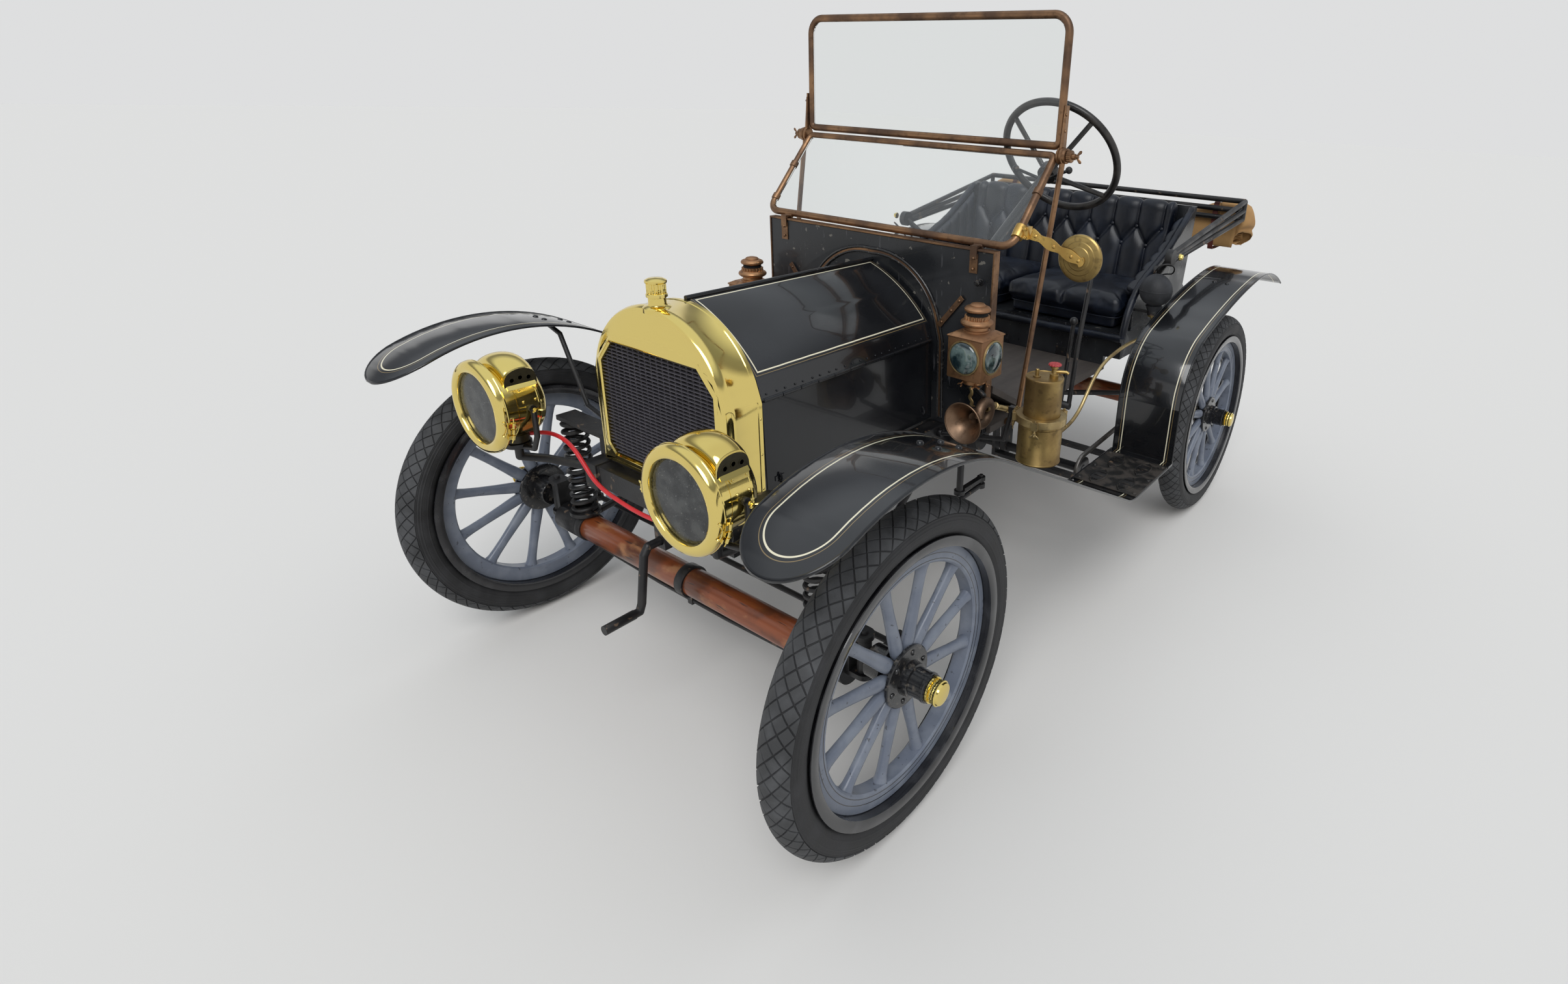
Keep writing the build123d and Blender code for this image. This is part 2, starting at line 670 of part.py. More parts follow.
hood_top = make_hood_top()
hinge_pin = 4.0
hinge_x = hood_hinge_x - sheet / 2
hood_side = cross_plate([(hood_hinge_x - sheet, hood_hinge_z - hinge_pin - seat_gap),
                         (hood_hinge_x, hood_hinge_z - hinge_pin - seat_gap),
                         (hood_bottom_x, hood_bottom_z), (hood_bottom_x - sheet, hood_bottom_z)],
                        hood_front_y, hood_rear_y)
hinge = rod((hinge_x, hood_front_y + 4, hood_hinge_z), (hinge_x, hood_rear_y - 4, hood_hinge_z), hinge_pin)
hood_top = hood_top + hinge
keep("hood_left_top", hood_top)
keep("hood_right_top", mirror(hood_top, about=Plane.YZ))
keep("hood_left_side", hood_side)
keep("hood_right_side", mirror(hood_side, about=Plane.YZ))
hood_rod_z = hood_edge_z + hood_rod_rise
keep("hood_rod", rod((0, radiator_rear_y + seat_gap, hood_rod_z), (0, dash_y - seat_gap, hood_rod_z),
                     hood_rod_radius))


# Dash with its brass edging and the arched beading that follows the hood
def make_dash_trim():
    trim = block(-dash_half - 6, dash_half + 6, dash_y - 3, dash_y + dash_thickness + 3,
                 rail_top + 30, dash_top_z + 6)
    trim -= block(-dash_half - seat_gap, dash_half + seat_gap, dash_y - 20, dash_y + dash_thickness + 20,
                  rail_top - 20, dash_top_z + seat_gap)
    return trim


def make_bead():
    facing = Plane(origin=(0, dash_y, 0), x_dir=(1, 0, 0), z_dir=(0, -1, 0))

    def outline(grow):
        return arch_outline(hood_hinge_x + grow, hood_shoulder_x + grow, hood_shoulder_z + grow * 0.5,
                            hood_crown_z + grow, hood_sag + 34, hood_bottom_x + grow, rail_top + 6)
    arch = outline(30) - outline(18)
    arch -= Pos(0, rail_top) * Rectangle(900, 40)
    return extrude(facing * arch, 4)


keep("dash_panel", block(-dash_half, dash_half, dash_y, dash_y + dash_thickness, rail_top, dash_top_z))
keep("dash_trim", group([make_dash_trim(), Pos(0, -seat_gap, 0) * make_bead()]))


# Windscreen: a lower frame that leans back and an upright upper frame, each a bent tube round its glass
def frame_loop(half, low, high, corner_low, corner_high):
    """A tube frame in a plane: low and high are (y, z) of its bottom and top bars."""
    lean = Vector(0, high[0] - low[0], high[1] - low[1])
    plane = Plane(origin=(0, low[0], low[1]), x_dir=(1, 0, 0), z_dir=Vector(1, 0, 0).cross(lean))
    height = lean.length
    outline = make_face(Polyline((-half, 0), (half, 0), (half, height), (-half, height), close=True))
    outline = fillet(outline.vertices().sort_by(Axis.Y)[:2], corner_low)
    top = outline.vertices().filter_by(lambda v: abs(v.Y - height) < 0.01 and abs(abs(v.X) - half) < 0.01)
    outline = fillet(top, corner_high)
    return plane, outline


def make_screen_frame(half, low, high, corner_low, corner_high):
    plane, outline = frame_loop(half, low, high, corner_low, corner_high)
    path = plane * outline.faces()[0].outer_wire()
    return sweep(Plane(origin=path @ 0.5, z_dir=path % 0.5) * Circle(screen_tube), path=path)


def make_glass(half, low, high, corner_low, corner_high):
    inset = screen_tube + seat_gap
    lean = Vector(0, high[0] - low[0], high[1] - low[1]).normalized()
    low_in = (low[0] + lean.Y * inset, low[1] + lean.Z * inset)
    high_in = (high[0] - lean.Y * inset, high[1] - lean.Z * inset)
    plane, outline = frame_loop(half - inset, low_in, high_in, corner_low - inset, corner_high - inset)
    return extrude(plane * outline, glass_thickness / 2, both=True)


lower_low = (screen_foot_y, screen_foot_z)
lower_high = (screen_hinge_y - 12, screen_hinge_z - 14)
upper_low = (screen_hinge_y, screen_hinge_z + 12)
upper_high = (screen_hinge_y + 2, screen_top_z)
lower = (screen_half, lower_low, lower_high, 40.0, 16.0)
upper = (screen_half + 4, upper_low, upper_high, 16.0, 48.0)
keep("screen_frames", group([make_screen_frame(*lower), make_screen_frame(*upper)]))
keep("screen_glass", group([make_glass(*lower), make_glass(*upper)]))


def make_screen_fittings():
    """Friction hinge, stay rod and foot hinge on the car's left."""
    outside = screen_half + screen_tube + seat_gap
    knob = across(outside, outside + 26, screen_hinge_y - 12, screen_hinge_z - 12, 21)
    knob += across(outside + 20, outside + 52, screen_hinge_y - 12, screen_hinge_z - 12, 8)
    knob += block(outside + 4, outside + 10, screen_hinge_y - 9, screen_hinge_y + 9, screen_hinge_z,
                  screen_hinge_z + 120)
    stay_top = (outside + 15, screen_hinge_y - 12, screen_hinge_z - 12)
    stay_foot = (outside + 2, 862, floor_z + 42)
    sill = (floor_half + 12, 866, floor_z - 10)
    knob += bent_rod([stay_top, stay_foot, sill], 8)
    knob += across(floor_half + seat_gap, floor_half + 16, sill[1], sill[2], 11)
    return knob


def make_foot_hinge(x):
    plate = block(x - 13, x + 13, dash_y - 3 - seat_gap, dash_y - seat_gap, dash_top_z - 62, dash_top_z - 8)
    plate += block(x - 11, x + 11, dash_y - 3 - seat_gap, dash_y + 2, dash_top_z + 7, screen_foot_z - 4)
    plate += block(x - 11, x + 11, dash_y - 7, dash_y - 3, dash_top_z - 20, screen_foot_z - 4)
    plate += block(x - 11, x + 11, dash_y - 7, screen_foot_y - screen_tube, screen_foot_z - 9, screen_foot_z - 4)
    return plate


keep("screen_fittings", group([both(make_screen_fittings()), both(make_foot_hinge(dash_half - 62))]))

mirror_x = 645.0
mirror_y = 838.0
mirror_z = 1200.0
arm_x = screen_half + screen_tube + seat_gap
clamp_y = screen_foot_y + 34
clamp_z = screen_foot_z + 38
mirror_arm = block(arm_x, arm_x + 28, clamp_y - 16, clamp_y + 16, clamp_z - 18, clamp_z + 18)
mirror_arm += rod((arm_x + 14, clamp_y, clamp_z), (mirror_x - 20, mirror_y - 16, mirror_z + 2), 10)
mirror_arm += rod((mirror_x - 24, mirror_y - 16, mirror_z), (mirror_x, mirror_y - 2, mirror_z), 10)
mirror_arm += rod((mirror_x, mirror_y - 4, mirror_z), (mirror_x, mirror_y + 10, mirror_z), 57)
keep("mirror", mirror_arm)


# Steering wheel on a raked column that ends in a bevel gear behind the dash
rake = math.radians(steering_rake)
column_up = Vector(0, math.cos(rake), math.sin(rake))
wheel_plane = Plane(origin=(steering_x, steering_y, steering_z), x_dir=(1, 0, 0), z_dir=column_up)
hub_plane = Plane(origin=Vector(steering_x, steering_y, steering_z) - column_up * steering_dish,
                  x_dir=(1, 0, 0), z_dir=column_up)


def make_steering_wheel():
    wheel = wheel_plane * Torus(steering_rim_radius, steering_rim_tube)
    hub = hub_plane * (Pos(0, 0, 6) * Cylinder(30, 34))
    shape = wheel + hub
    for index in range(4):
        angle = math.radians(45 + 90 * index)
        reach = steering_rim_radius - 2
        rim_point = wheel_plane.from_local_coords(
            Vector(reach * math.cos(angle), reach * math.sin(angle), 0))
        hub_point = hub_plane.from_local_coords(Vector(20 * math.cos(angle), 20 * math.sin(angle), 8))
        shape += rod(tuple(hub_point), tuple(rim_point), 8)
    return shape


keep("steering_wheel", make_steering_wheel())
column_top = hub_plane.origin - column_up * (11 + seat_gap)
column_run = (column_top.Y - gear_y) / math.cos(rake)
column_foot = column_top - column_up * column_run


def make_column():
    column = rod(tuple(column_top), tuple(column_foot), column_radius)
    case_z = column_foot.Z
    column += block(steering_x - 38, steering_x + 38, dash_y + dash_thickness + seat_gap, gear_y + 34,
                    case_z - 50, case_z + 36)
    column += rod((steering_x, gear_y, case_z - 40), (steering_x, gear_y, pitman_z + 140), column_radius)
    column += Pos(steering_x, gear_y, rail_top - 40) * Box(44, 60, 60)
    column += block(rail_side, steering_x, gear_y - 30, gear_y + 30, rail_top - 70, rail_top - 10)
    column -= Pos(steering_x, gear_y, pitman_z + 70) * Cylinder(11 + running_fit, 141 - 2 * 0.5)
    levers = [
        # length along the column's rim, angle in degrees, height under the hub
        (95, 200, -34),
        (110, 335, -34),
    ]
    for length, degrees, height in levers:
        angle = math.radians(degrees)
        start = hub_plane.from_local_coords(Vector(0, 0, height))
        end = hub_plane.from_local_coords(
            Vector(length * math.cos(angle), length * math.sin(angle), height))
        column += rod(tuple(start), tuple(end), 5)
        column += Pos(*tuple(end)) * Sphere(11)
    return column


keep("steering_column", make_column())


# Body: floor, sloping toe board and the pedals
def make_floor():
    floor_front_y = dash_y + dash_thickness + 3 + seat_gap
    floor = block(-floor_half, floor_half, floor_front_y, seat_front_y, rail_top, floor_z)
    toe = side_plate([(floor_front_y, toe_top_z), (toe_foot_y, floor_z), (toe_foot_y - 30, floor_z - 1),
                      (floor_front_y, toe_top_z - 22)], -floor_half, floor_half)
    floor += toe
    floor -= Pos(steering_x, gear_y, floor_z) * Cylinder(column_radius + 6, 400)
    floor -= block(steering_x - 30, steering_x + 40, gear_y - 40, gear_y + 40, rail_top - 5, rail_top + 2)
    for x in (120.0, 200.0):
        floor += rod((x, 935, 700), (x, 965, 800), 8)
        floor += Pos(x, 968, 806) * Rot(X=-30) * Box(56, 14, 70)
    return floor


keep("floor_boards", make_floor())


# Seat: a closed box, the wooden sides and back round it, and the leather pieces
def make_seat_box():
    box = block(-seat_half, seat_half, seat_front_y + seat_gap, seat_back_y, body_foot_z, seat_box_top)
    box += block(-floor_half, floor_half, seat_front_y + seat_gap, seat_front_y + board, rail_top, body_foot_z + 1)
    for side in (-1, 1):
        box -= block(side * rail_x - 21, side * rail_x + 21, seat_front_y - 1, seat_front_y + board + 1,
                     rail_top - 1, body_foot_z)
    box += block(-seat_half, seat_half, seat_front_y - 24, seat_front_y + 1, seat_box_top - 26, seat_box_top)
    lean = back_lean(back_top_z)
    side = [(seat_front_y + 30, seat_box_top), (seat_front_y + 30, 930), (seat_front_y + 130, 985),
            (seat_front_y + 330, 1070), (seat_back_y + lean, back_top_z - 14),
            (seat_back_y + lean + seat_wall, back_top_z - 14), (seat_back_y + 2, seat_box_top - 2)]
    for x0, x1 in ((seat_half - 1, seat_half + seat_wall), (-seat_half - seat_wall, -seat_half + 1)):
        box += side_plate(side, x0, x1)
    back = [(seat_back_y - seat_wall, seat_box_top - 2), (seat_back_y + 2, seat_box_top - 2),
            (seat_back_y + lean + seat_wall, back_top_z - 14), (seat_back_y + lean, back_top_z - 14)]
    return box + side_plate(back, -seat_half, seat_half)


def back_lean(z):
    """How far the seat's back leans back at a height."""
    return 42.0 * (z - seat_box_top) / (back_top_z - seat_box_top)


keep("seat_box", make_seat_box())
cushion_back_y = seat_back_y - 118


def make_cushion():
    cushion = block(3, seat_half - 12, seat_front_y - 22, cushion_back_y, seat_box_top + seat_gap,
                    seat_box_top + cushion_thickness)
    return fillet(cushion.edges(), 22)


keep("seat_cushions", both(make_cushion()))
squab_thickness = 92.0


def make_squab():
    foot = seat_box_top + seat_gap
    wall_foot = seat_back_y - seat_wall - 1.5 - seat_gap
    wall_top = seat_back_y + back_lean(back_top_z) - 1.5 - seat_gap
    section = [(cushion_back_y + 3, foot), (wall_foot, foot), (wall_top, back_top_z + 12),
               (wall_top - squab_thickness + 20, back_top_z + 12)]
    squab = side_plate(section, -seat_half + 46, seat_half - 46)
    return fillet(squab.edges(), 14)


def make_side_squab():
    foot = seat_box_top + cushion_thickness + 3
    section = [(seat_front_y + 60, foot), (cushion_back_y + 30, foot), (cushion_back_y + 44, 1096),
               (seat_front_y + 190, 1004)]
    squab = side_plate(section, seat_half - 42, seat_half - 1 - seat_gap)
    return fillet(squab.edges(), 9)


keep("seat_back", group([make_squab(), both(make_side_squab())]))
deck_front_y = seat_back_y + back_lean(905) + seat_wall + seat_gap
deck = side_plate([(deck_front_y, body_foot_z), (deck_front_y, 905), (deck_rear_y - 60, 840),
                   (deck_rear_y, 790), (deck_rear_y, body_foot_z)], -430, 430)
keep("rear_deck", deck)


# Folded top: three irons on each side from the pivot on the seat, bows across, and the rolled cloth
pivot = (600.0, 1697.0, 1083.0)
bow_end = (620.0, 2440.0, 1212.0)
bundle_rear_y = wheelbase + rear_overhang


def make_top_bows():
    side = None
    drops = [0.0, 38.0, 74.0]
    for drop in drops:
        start = (pivot[0] - 6, pivot[1] + drop * 0.4, pivot[2] - drop * 0.3)
        end = (bow_end[0], bow_end[1], bow_end[2] - drop)
        bar = rod(start, end, 10)
        side = bar if side is None else side + bar
    side += Pos(pivot[0] - 6, pivot[1], pivot[2] - 10) * Rot(Y=90) * Cylinder(30, 24)
    side += rod((pivot[0] - 6, pivot[1], pivot[2] - 10), (seat_half + seat_wall + 15, pivot[1] + 60, 1000), 11)
    side += rod((seat_half + seat_wall + seat_gap, pivot[1] + 60, 1000),
                (seat_half + seat_wall + 16, pivot[1] + 60, 1000), 26)
    side += rod((bow_end[0], bow_end[1], bow_end[2] - drops[-1]), bow_end, 10)
    bows = side + mirror(side, about=Plane.YZ)
    for drop in drops:
        bows += across(-bow_end[0], bow_end[0], bow_end[1], bow_end[2] - drop, 11)
    return bows


keep("top_bows", make_top_bows())
bundle_front_y = bow_end[1] + 11 + seat_gap
bundle_depth = bundle_rear_y - bundle_front_y
bundle = block(-602, 602, bundle_front_y, bundle_rear_y, bow_end[2] - 205, bow_end[2] - 12)
keep("top_bundle", fillet(bundle.edges().filter_by(Axis.X), bundle_depth / 2 - 2))


# Headlamps: drum shell, front ring and glass on forked brackets
def facing_rod(x, z, y0, y1, radius):
    return rod((x, y0, z), (x, y1, z), radius)


def make_headlamp_shell():
    lamp = facing_rod(headlamp_x, headlamp_z, headlamp_y + 26, headlamp_y + headlamp_depth, headlamp_body)
    lamp = fillet(lamp.edges().sort_by(Axis.Y)[-1], 30)
    lamp -= facing_rod(headlamp_x, headlamp_z, headlamp_y + 20, headlamp_y + headlamp_depth - 26, headlamp_body - 6)
    lamp += Pos(headlamp_x, headlamp_y + 92, headlamp_z + headlamp_body - 14) * Cylinder(52, 62)
    lamp += Pos(headlamp_x, headlamp_y + 92, headlamp_z - headlamp_body - 6) * Cylinder(30, 30)
    return lamp


def make_headlamp_ring():
    rim = facing_rod(headlamp_x, headlamp_z, headlamp_y, headlamp_y + 26 - seat_gap, headlamp_ring)
    rim = fillet(rim.edges(), 11)
    rim -= facing_rod(headlamp_x, headlamp_z, headlamp_y - 20, headlamp_y + 60, headlamp_glass)
    return rim


keep("headlamp_shells", both(make_headlamp_shell()))
keep("headlamp_rims", both(make_headlamp_ring()))
glass = facing_rod(headlamp_x, headlamp_z, headlamp_y + 12, headlamp_y + 17, headlamp_glass - seat_gap)


def make_headlamp_bracket():
    y = headlamp_y + 92
    foot_z = headlamp_z - headlamp_body - 21 - seat_gap
    bracket = Pos(headlamp_x, y, foot_z - 6) * Cylinder(34, 12)
    rail_boss = (rail_side + 11, rail_front + 30, rail_top - 34)
    bracket += bent_rod([(headlamp_x, y, foot_z - 6), (headlamp_x, y, foot_z - 44),
                         (headlamp_x - 20, y + 60, foot_z - 66), rail_boss], 11)
    bracket += across(rail_side + seat_gap, rail_side + 16, rail_boss[1], rail_boss[2], 15)
    for side in (-1, 1):
        arm_x0 = headlamp_x + side * 28
        arm_x1 = headlamp_x + side * (headlamp_body + 9)
        bracket += bent_rod([(arm_x0, y, foot_z - 9), (arm_x1 - side * 22, y, foot_z), (arm_x1, y, foot_z + 40),
                             (arm_x1, y, headlamp_z)], 7)
        bracket += across(headlamp_x + side * (headlamp_body + seat_gap), arm_x1, y, headlamp_z, 9)
    return bracket


def make_side_lamp():
    half = side_lamp_side / 2
    bottom, top = side_lamp_z - side_lamp_height / 2, side_lamp_z + side_lamp_height / 2
    lamp = block(side_lamp_x - half, side_lamp_x + half, side_lamp_y - half, side_lamp_y + half, bottom, top)
    lamp -= block(side_lamp_x - half + 4, side_lamp_x + half - 4, side_lamp_y - half + 4,
                  side_lamp_y + half - 4, bottom + 4, top - 4)
    lamp -= facing_rod(side_lamp_x, side_lamp_z, side_lamp_y - half - 1, side_lamp_y - half + 10, 42)
    lamp -= across(side_lamp_x + half - 10, side_lamp_x + half + 1, side_lamp_y, side_lamp_z, 42)
    chimney = [
        # height above the body's top, radius, thickness
        (9, 30, 20),
        (26, 45, 18),
        (44, 34, 20),
        (62, 30, 20),
        (74, 38, 12),
    ]
    for height, radius, thick in chimney:
        lamp += Pos(side_lamp_x, side_lamp_y, top + height) * Cylinder(radius, thick)
    lamp += Pos(side_lamp_x, side_lamp_y, bottom - 10) * Cylinder(34, 22)
    return lamp


def make_side_lenses():
    half = side_lamp_side / 2
    front = facing_rod(side_lamp_x, side_lamp_z, side_lamp_y - half - 3, side_lamp_y - half + 3.5, 42 - seat_gap)
    outer = across(side_lamp_x + half - 3.5, side_lamp_x + half + 3, side_lamp_y, side_lamp_z, 42 - seat_gap)
    return group([front, outer])


lamp_foot_z = side_lamp_z - side_lamp_height / 2 - 21 - seat_gap


def make_side_bracket():
    rod_z = lamp_foot_z - 9
    arm = Pos(side_lamp_x, side_lamp_y, lamp_foot_z - 5) * Cylinder(26, 10)
    arm += bent_rod([(side_lamp_x, side_lamp_y, rod_z), (side_lamp_x - 14, side_lamp_y + 40, rod_z),
                     (dash_half - 18, dash_y - 6, rod_z)], 8)
    arm += facing_rod(dash_half - 18, rod_z, dash_y - 8, dash_y - seat_gap, 14)
    return arm


keep("side_lamp_bodies", both(make_side_lamp()))
keep("lamp_glasses", group([both(glass), both(make_side_lenses())]))

# Bulb horn: the bell hangs from the lamp bracket, a tube leads back to the rubber bulb by the seat
horn_x = 468.0
horn_z = 752.0
bell_mouth_y = 575.0
bell = revolve(Plane.XY * make_face(
    ThreePointArc((0, 60), (34, 26), (80, 14)) + Polyline((80, 14), (80, 10), (74, 10))
    + ThreePointArc((74, 10), (30, 21), (-3, 58)) + Line((-3, 58), (0, 60))), Axis.X)
bell = Plane(origin=(horn_x, bell_mouth_y, horn_z), x_dir=(0, 1, 0), z_dir=(0, 0, 1)) * bell
coil_y = bell_mouth_y + 100
horn = bell + Pos(horn_x + 4, coil_y, horn_z) * Rot(Y=90) * Torus(34, 13)
horn += rod((horn_x + 2, bell_mouth_y + 70, horn_z), (horn_x + 4, coil_y - 30, horn_z), 12)
keep("horn", horn)
side_bracket = make_side_bracket()
horn_strap = bent_rod([(side_lamp_x + 4, side_lamp_y, lamp_foot_z - 9), (horn_x + 4, coil_y - 4, lamp_foot_z - 30),
                       (horn_x + 4, coil_y, horn_z + 47 + 7 + seat_gap)], 7)

bulb = (585.0, 1618.0, 968.0)
bulb_radius = 58.0


def rounded_route(route):
    """Corner radii for a hose: 0.45 of the shorter run over the tangent of half the turn."""
    radii = []
    for before, corner, after in zip(route, route[1:], route[2:]):
        run_in = Vector(*corner) - Vector(*before)
        run_out = Vector(*after) - Vector(*corner)
        turn = math.radians(run_in.get_angle(run_out))
        radii.append(0.45 * min(run_in.length, run_out.length) / math.tan(turn / 2))
    return radii


tube_radius = 6.0
tube_route = [
    # x, y, z
    (horn_x + 4, coil_y + 34 + 13 + seat_gap, horn_z),
    (horn_x + 4, 746, horn_z),
    (496, 782, 738),
    (524, 826, 698),
    (544, 890, 640),
    (556, 980, 606),
    (556, 1120, 622),
    (560, 1250, 770),
    (570, 1420, 804),
    (580, 1560, 806),
    (bulb[0], bulb[1], 834),
    (bulb[0], bulb[1], bulb[2] - bulb_radius - 40),
]
tube_radii = rounded_route(tube_route)
tube_path = FilletPolyline(*tube_route, radius=tube_radii)
tube = sweep(Plane(origin=tube_route[0], z_dir=Vector(*tube_route[1]) - Vector(*tube_route[0]))
             * Circle(tube_radius), path=tube_path)
print("horn tube radii", [round(radius) for radius in tube_radii])
print("horn tube length", round(tube_path.length), "volume ratio",
      round(tube.volume / (math.pi * tube_radius ** 2 * tube_path.length), 4))
keep("horn_tube", tube)
horn_bulb = Pos(*bulb) * Sphere(bulb_radius)
horn_bulb += rod((bulb[0], bulb[1], bulb[2] - bulb_radius - 39.5), (bulb[0], bulb[1], bulb[2] - bulb_radius + 6), 15)
keep("horn_bulb", horn_bulb)
bulb_clip = block(seat_half + seat_wall + seat_gap, bulb[0] + 4, bulb[1] - 8, bulb[1] + 8,
                  bulb[2] - bulb_radius - 28, bulb[2] - bulb_radius - 20)
bulb_clip += Pos(bulb[0], bulb[1], bulb[2] - bulb_radius - 24) * Cylinder(21, 14)
bulb_clip -= Pos(bulb[0], bulb[1], bulb[2] - bulb_radius - 24) * Cylinder(15 + seat_gap, 40)


# Gas generator on the left: two stacked cylinders held by a clamp band on an arm from the rail
def make_generator():
    mid_z = generator_foot_z + 118
    top_z = generator_foot_z + generator_height
    can = Pos(generator_x, generator_y, (generator_foot_z + mid_z) / 2) * Cylinder(
        generator_radius, mid_z - generator_foot_z)
    can += Pos(generator_x, generator_y, (mid_z + top_z) / 2) * Cylinder(generator_radius - 11, top_z - mid_z)
    can += Pos(generator_x + 22, generator_y + 10, top_z + 13) * Cylinder(12, 30)
    can += Pos(generator_x + 22, generator_y + 10, top_z + 30) * Cylinder(20, 8)
    can += Pos(generator_x - 18, generator_y - 12, top_z + 6) * Cylinder(6, 14)
    return can


def make_generator_bracket():
    band_z = generator_foot_z + 118 + 10 + seat_gap
    inner = generator_radius - 11 + seat_gap
    band = Pos(generator_x, generator_y, band_z) * (Cylinder(generator_radius + 4, 20) - Cylinder(inner, 40))
    band += block(generator_x - generator_radius - 38, generator_x - generator_radius - 1, generator_y - 9,
                  generator_y + 9, band_z - 8, band_z + 8)
    boss = (rail_side + 8, generator_y, rail_top - 22)
    band += bent_rod([(generator_x - generator_radius - 30, generator_y, band_z),
                      (generator_x - generator_radius - 50, generator_y, rail_top + 20), boss], 7)
    return band + across(rail_side + seat_gap, rail_side + 14, generator_y, boss[2], 13)


keep("gas_generator", make_generator())
keep("lamp_brackets", group([both(make_headlamp_bracket()), side_bracket + horn_strap,
                             mirror(side_bracket, about=Plane.YZ), bulb_clip, make_generator_bracket()]))

# Hand levers on the left, by the seat
lever_x = 488.0
lever_y = 1202.0
lever_z = 625.0
levers = bent_rod([(lever_x, lever_y, lever_z), (lever_x, 1226, 840), (lever_x + 6, 1262, 1070)], 8)
levers += rod((lever_x + 6, 1262, 1070), (lever_x + 8, 1276, 1150), 13)
levers += across(rail_side + seat_gap, lever_x + 4, lever_y, lever_z, 13)
levers += bent_rod([(lever_x - 30, lever_y, lever_z), (lever_x - 30, 1240, 900)], 7)
levers += Pos(lever_x - 30, 1240, 906) * Sphere(14)
keep("hand_levers", levers)

# Red rubber gas hose between the two headlamps, hanging in front of the radiator's foot
hose_radius = 5.5
base_radius = 30.0 + seat_gap
hose_end_x = headlamp_x - base_radius * 0.5
hose_end_y = headlamp_y + 92 + base_radius * 0.866
hose_route = [
    # x, y, z
    (-hose_end_x, hose_end_y, 737),
    (-hose_end_x + 15, hose_end_y + 26, 737),
    (-310, -146, 738),
    (-264, -144, 733),
    (-222, -146, 716),
    (-188, -148, 690),
    (-152, -150, 660),
    (-106, -150, 642),
    (-50, -150, 634),
    (12, -152, 630),
    (78, -154, 632),
    (144, -155, 642),
    (204, -154, 662),
    (256, -151, 690),
    (306, -147, 720),
    (hose_end_x - 15, hose_end_y + 26, 737),
    (hose_end_x, hose_end_y, 737),
]


hose_radii = rounded_route(hose_route)
print("hose radii", [round(radius) for radius in hose_radii])
hose_path = FilletPolyline(*hose_route, radius=hose_radii)
hose = sweep(Plane(origin=hose_route[0], z_dir=Vector(*hose_route[1]) - Vector(*hose_route[0]))
             * Circle(hose_radius), path=hose_path)
print("hose length", round(hose_path.length), "volume ratio",
      round(hose.volume / (math.pi * hose_radius ** 2 * hose_path.length), 4))
keep("gas_hose", hose)

for name, shape in nodes.items():
    export_step(shape, f"parts/{name}.step")
print(len(nodes), "nodes")
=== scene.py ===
# %% [markdown]
# # An open runabout of the brass era
#
# This notebook dresses a small open car: polished brass at the front, black coach paint with fine cream
# lines, wooden wheels, buttoned leather and a row of gas lamps. The true sizes and the joints come from the
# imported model, which is loaded first as a fixed frame. Every piece that is added here sits in that frame,
# in metres, and rides on one of its bodies.

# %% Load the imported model
from math import asin, atan2, copysign, cos, exp, floor, hypot, pi, radians, sin, sqrt, tau
import bmesh
import bpy
from mathutils import Matrix, Vector


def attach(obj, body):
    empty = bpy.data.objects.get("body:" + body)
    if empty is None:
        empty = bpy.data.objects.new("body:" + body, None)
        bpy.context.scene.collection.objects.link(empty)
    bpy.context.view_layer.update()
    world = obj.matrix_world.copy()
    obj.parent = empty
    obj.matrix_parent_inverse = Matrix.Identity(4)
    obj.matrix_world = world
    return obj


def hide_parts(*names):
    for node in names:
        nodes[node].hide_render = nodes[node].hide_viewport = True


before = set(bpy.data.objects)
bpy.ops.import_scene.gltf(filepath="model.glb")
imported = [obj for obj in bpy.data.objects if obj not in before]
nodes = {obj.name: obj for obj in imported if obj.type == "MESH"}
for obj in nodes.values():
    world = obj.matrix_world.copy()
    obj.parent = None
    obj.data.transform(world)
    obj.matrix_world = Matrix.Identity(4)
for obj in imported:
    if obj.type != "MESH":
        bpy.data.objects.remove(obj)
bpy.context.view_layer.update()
print("CAD nodes", len(nodes))

# %% [markdown]
# ## Where things are
#
# A mechanic measures a car back from its front axle, so places are written here as metres across, metres
# back from that axle, and metres up. One small function turns them into the frame's own coordinates. Longer
# lists of sizes are tables in millimetres, as on a drawing.

# %% Places
front_axle_y = -1.093
wheelbase = 2.032
half_track = 0.711
hands = ((1, "left"), (-1, "right"))
to_front, to_back, to_top = (0, -1, 0), (0, 1, 0), (0, 0, 1)
road_wheels = [(f"{axle}_{hand}", side, y) for axle, y in (("front", 0.0), ("rear", wheelbase))
               for side, hand in hands]


def mm(table):
    """Rows of metres from a table in millimetres, with commas between its rows."""
    return [tuple(float(size) / 1000 for size in row.split()) for row in table.split(",")]


def at(x, y, z):
    """A place from metres across (left is positive), back from the front axle, and up."""
    return Vector((x, y + front_axle_y, z))


def places(table, side=1):
    """A line of places from a table. On the car's right, side is -1."""
    return [at(side * x, y, z) for x, y, z in mm(table)]


def facing(point, direction, up=to_top):
    """A matrix at a place, whose own Z points along a direction and whose Y leans to up."""
    z = Vector(direction).normalized()
    x = Vector(up).cross(z)
    if x.length < 1e-6:
        x = Vector((1, 0, 0)).cross(z)
    x.normalize()
    turned = Matrix((x, z.cross(x), z)).transposed().to_4x4()
    turned.translation = Vector(point)
    return turned


def outward(side, x, y, z):
    """A place on one side of the car, facing away from it."""
    return facing(at(side * x, y, z), (side, 0, 0))


print("front axle", front_axle_y, "rear axle", round(front_axle_y + wheelbase, 3))

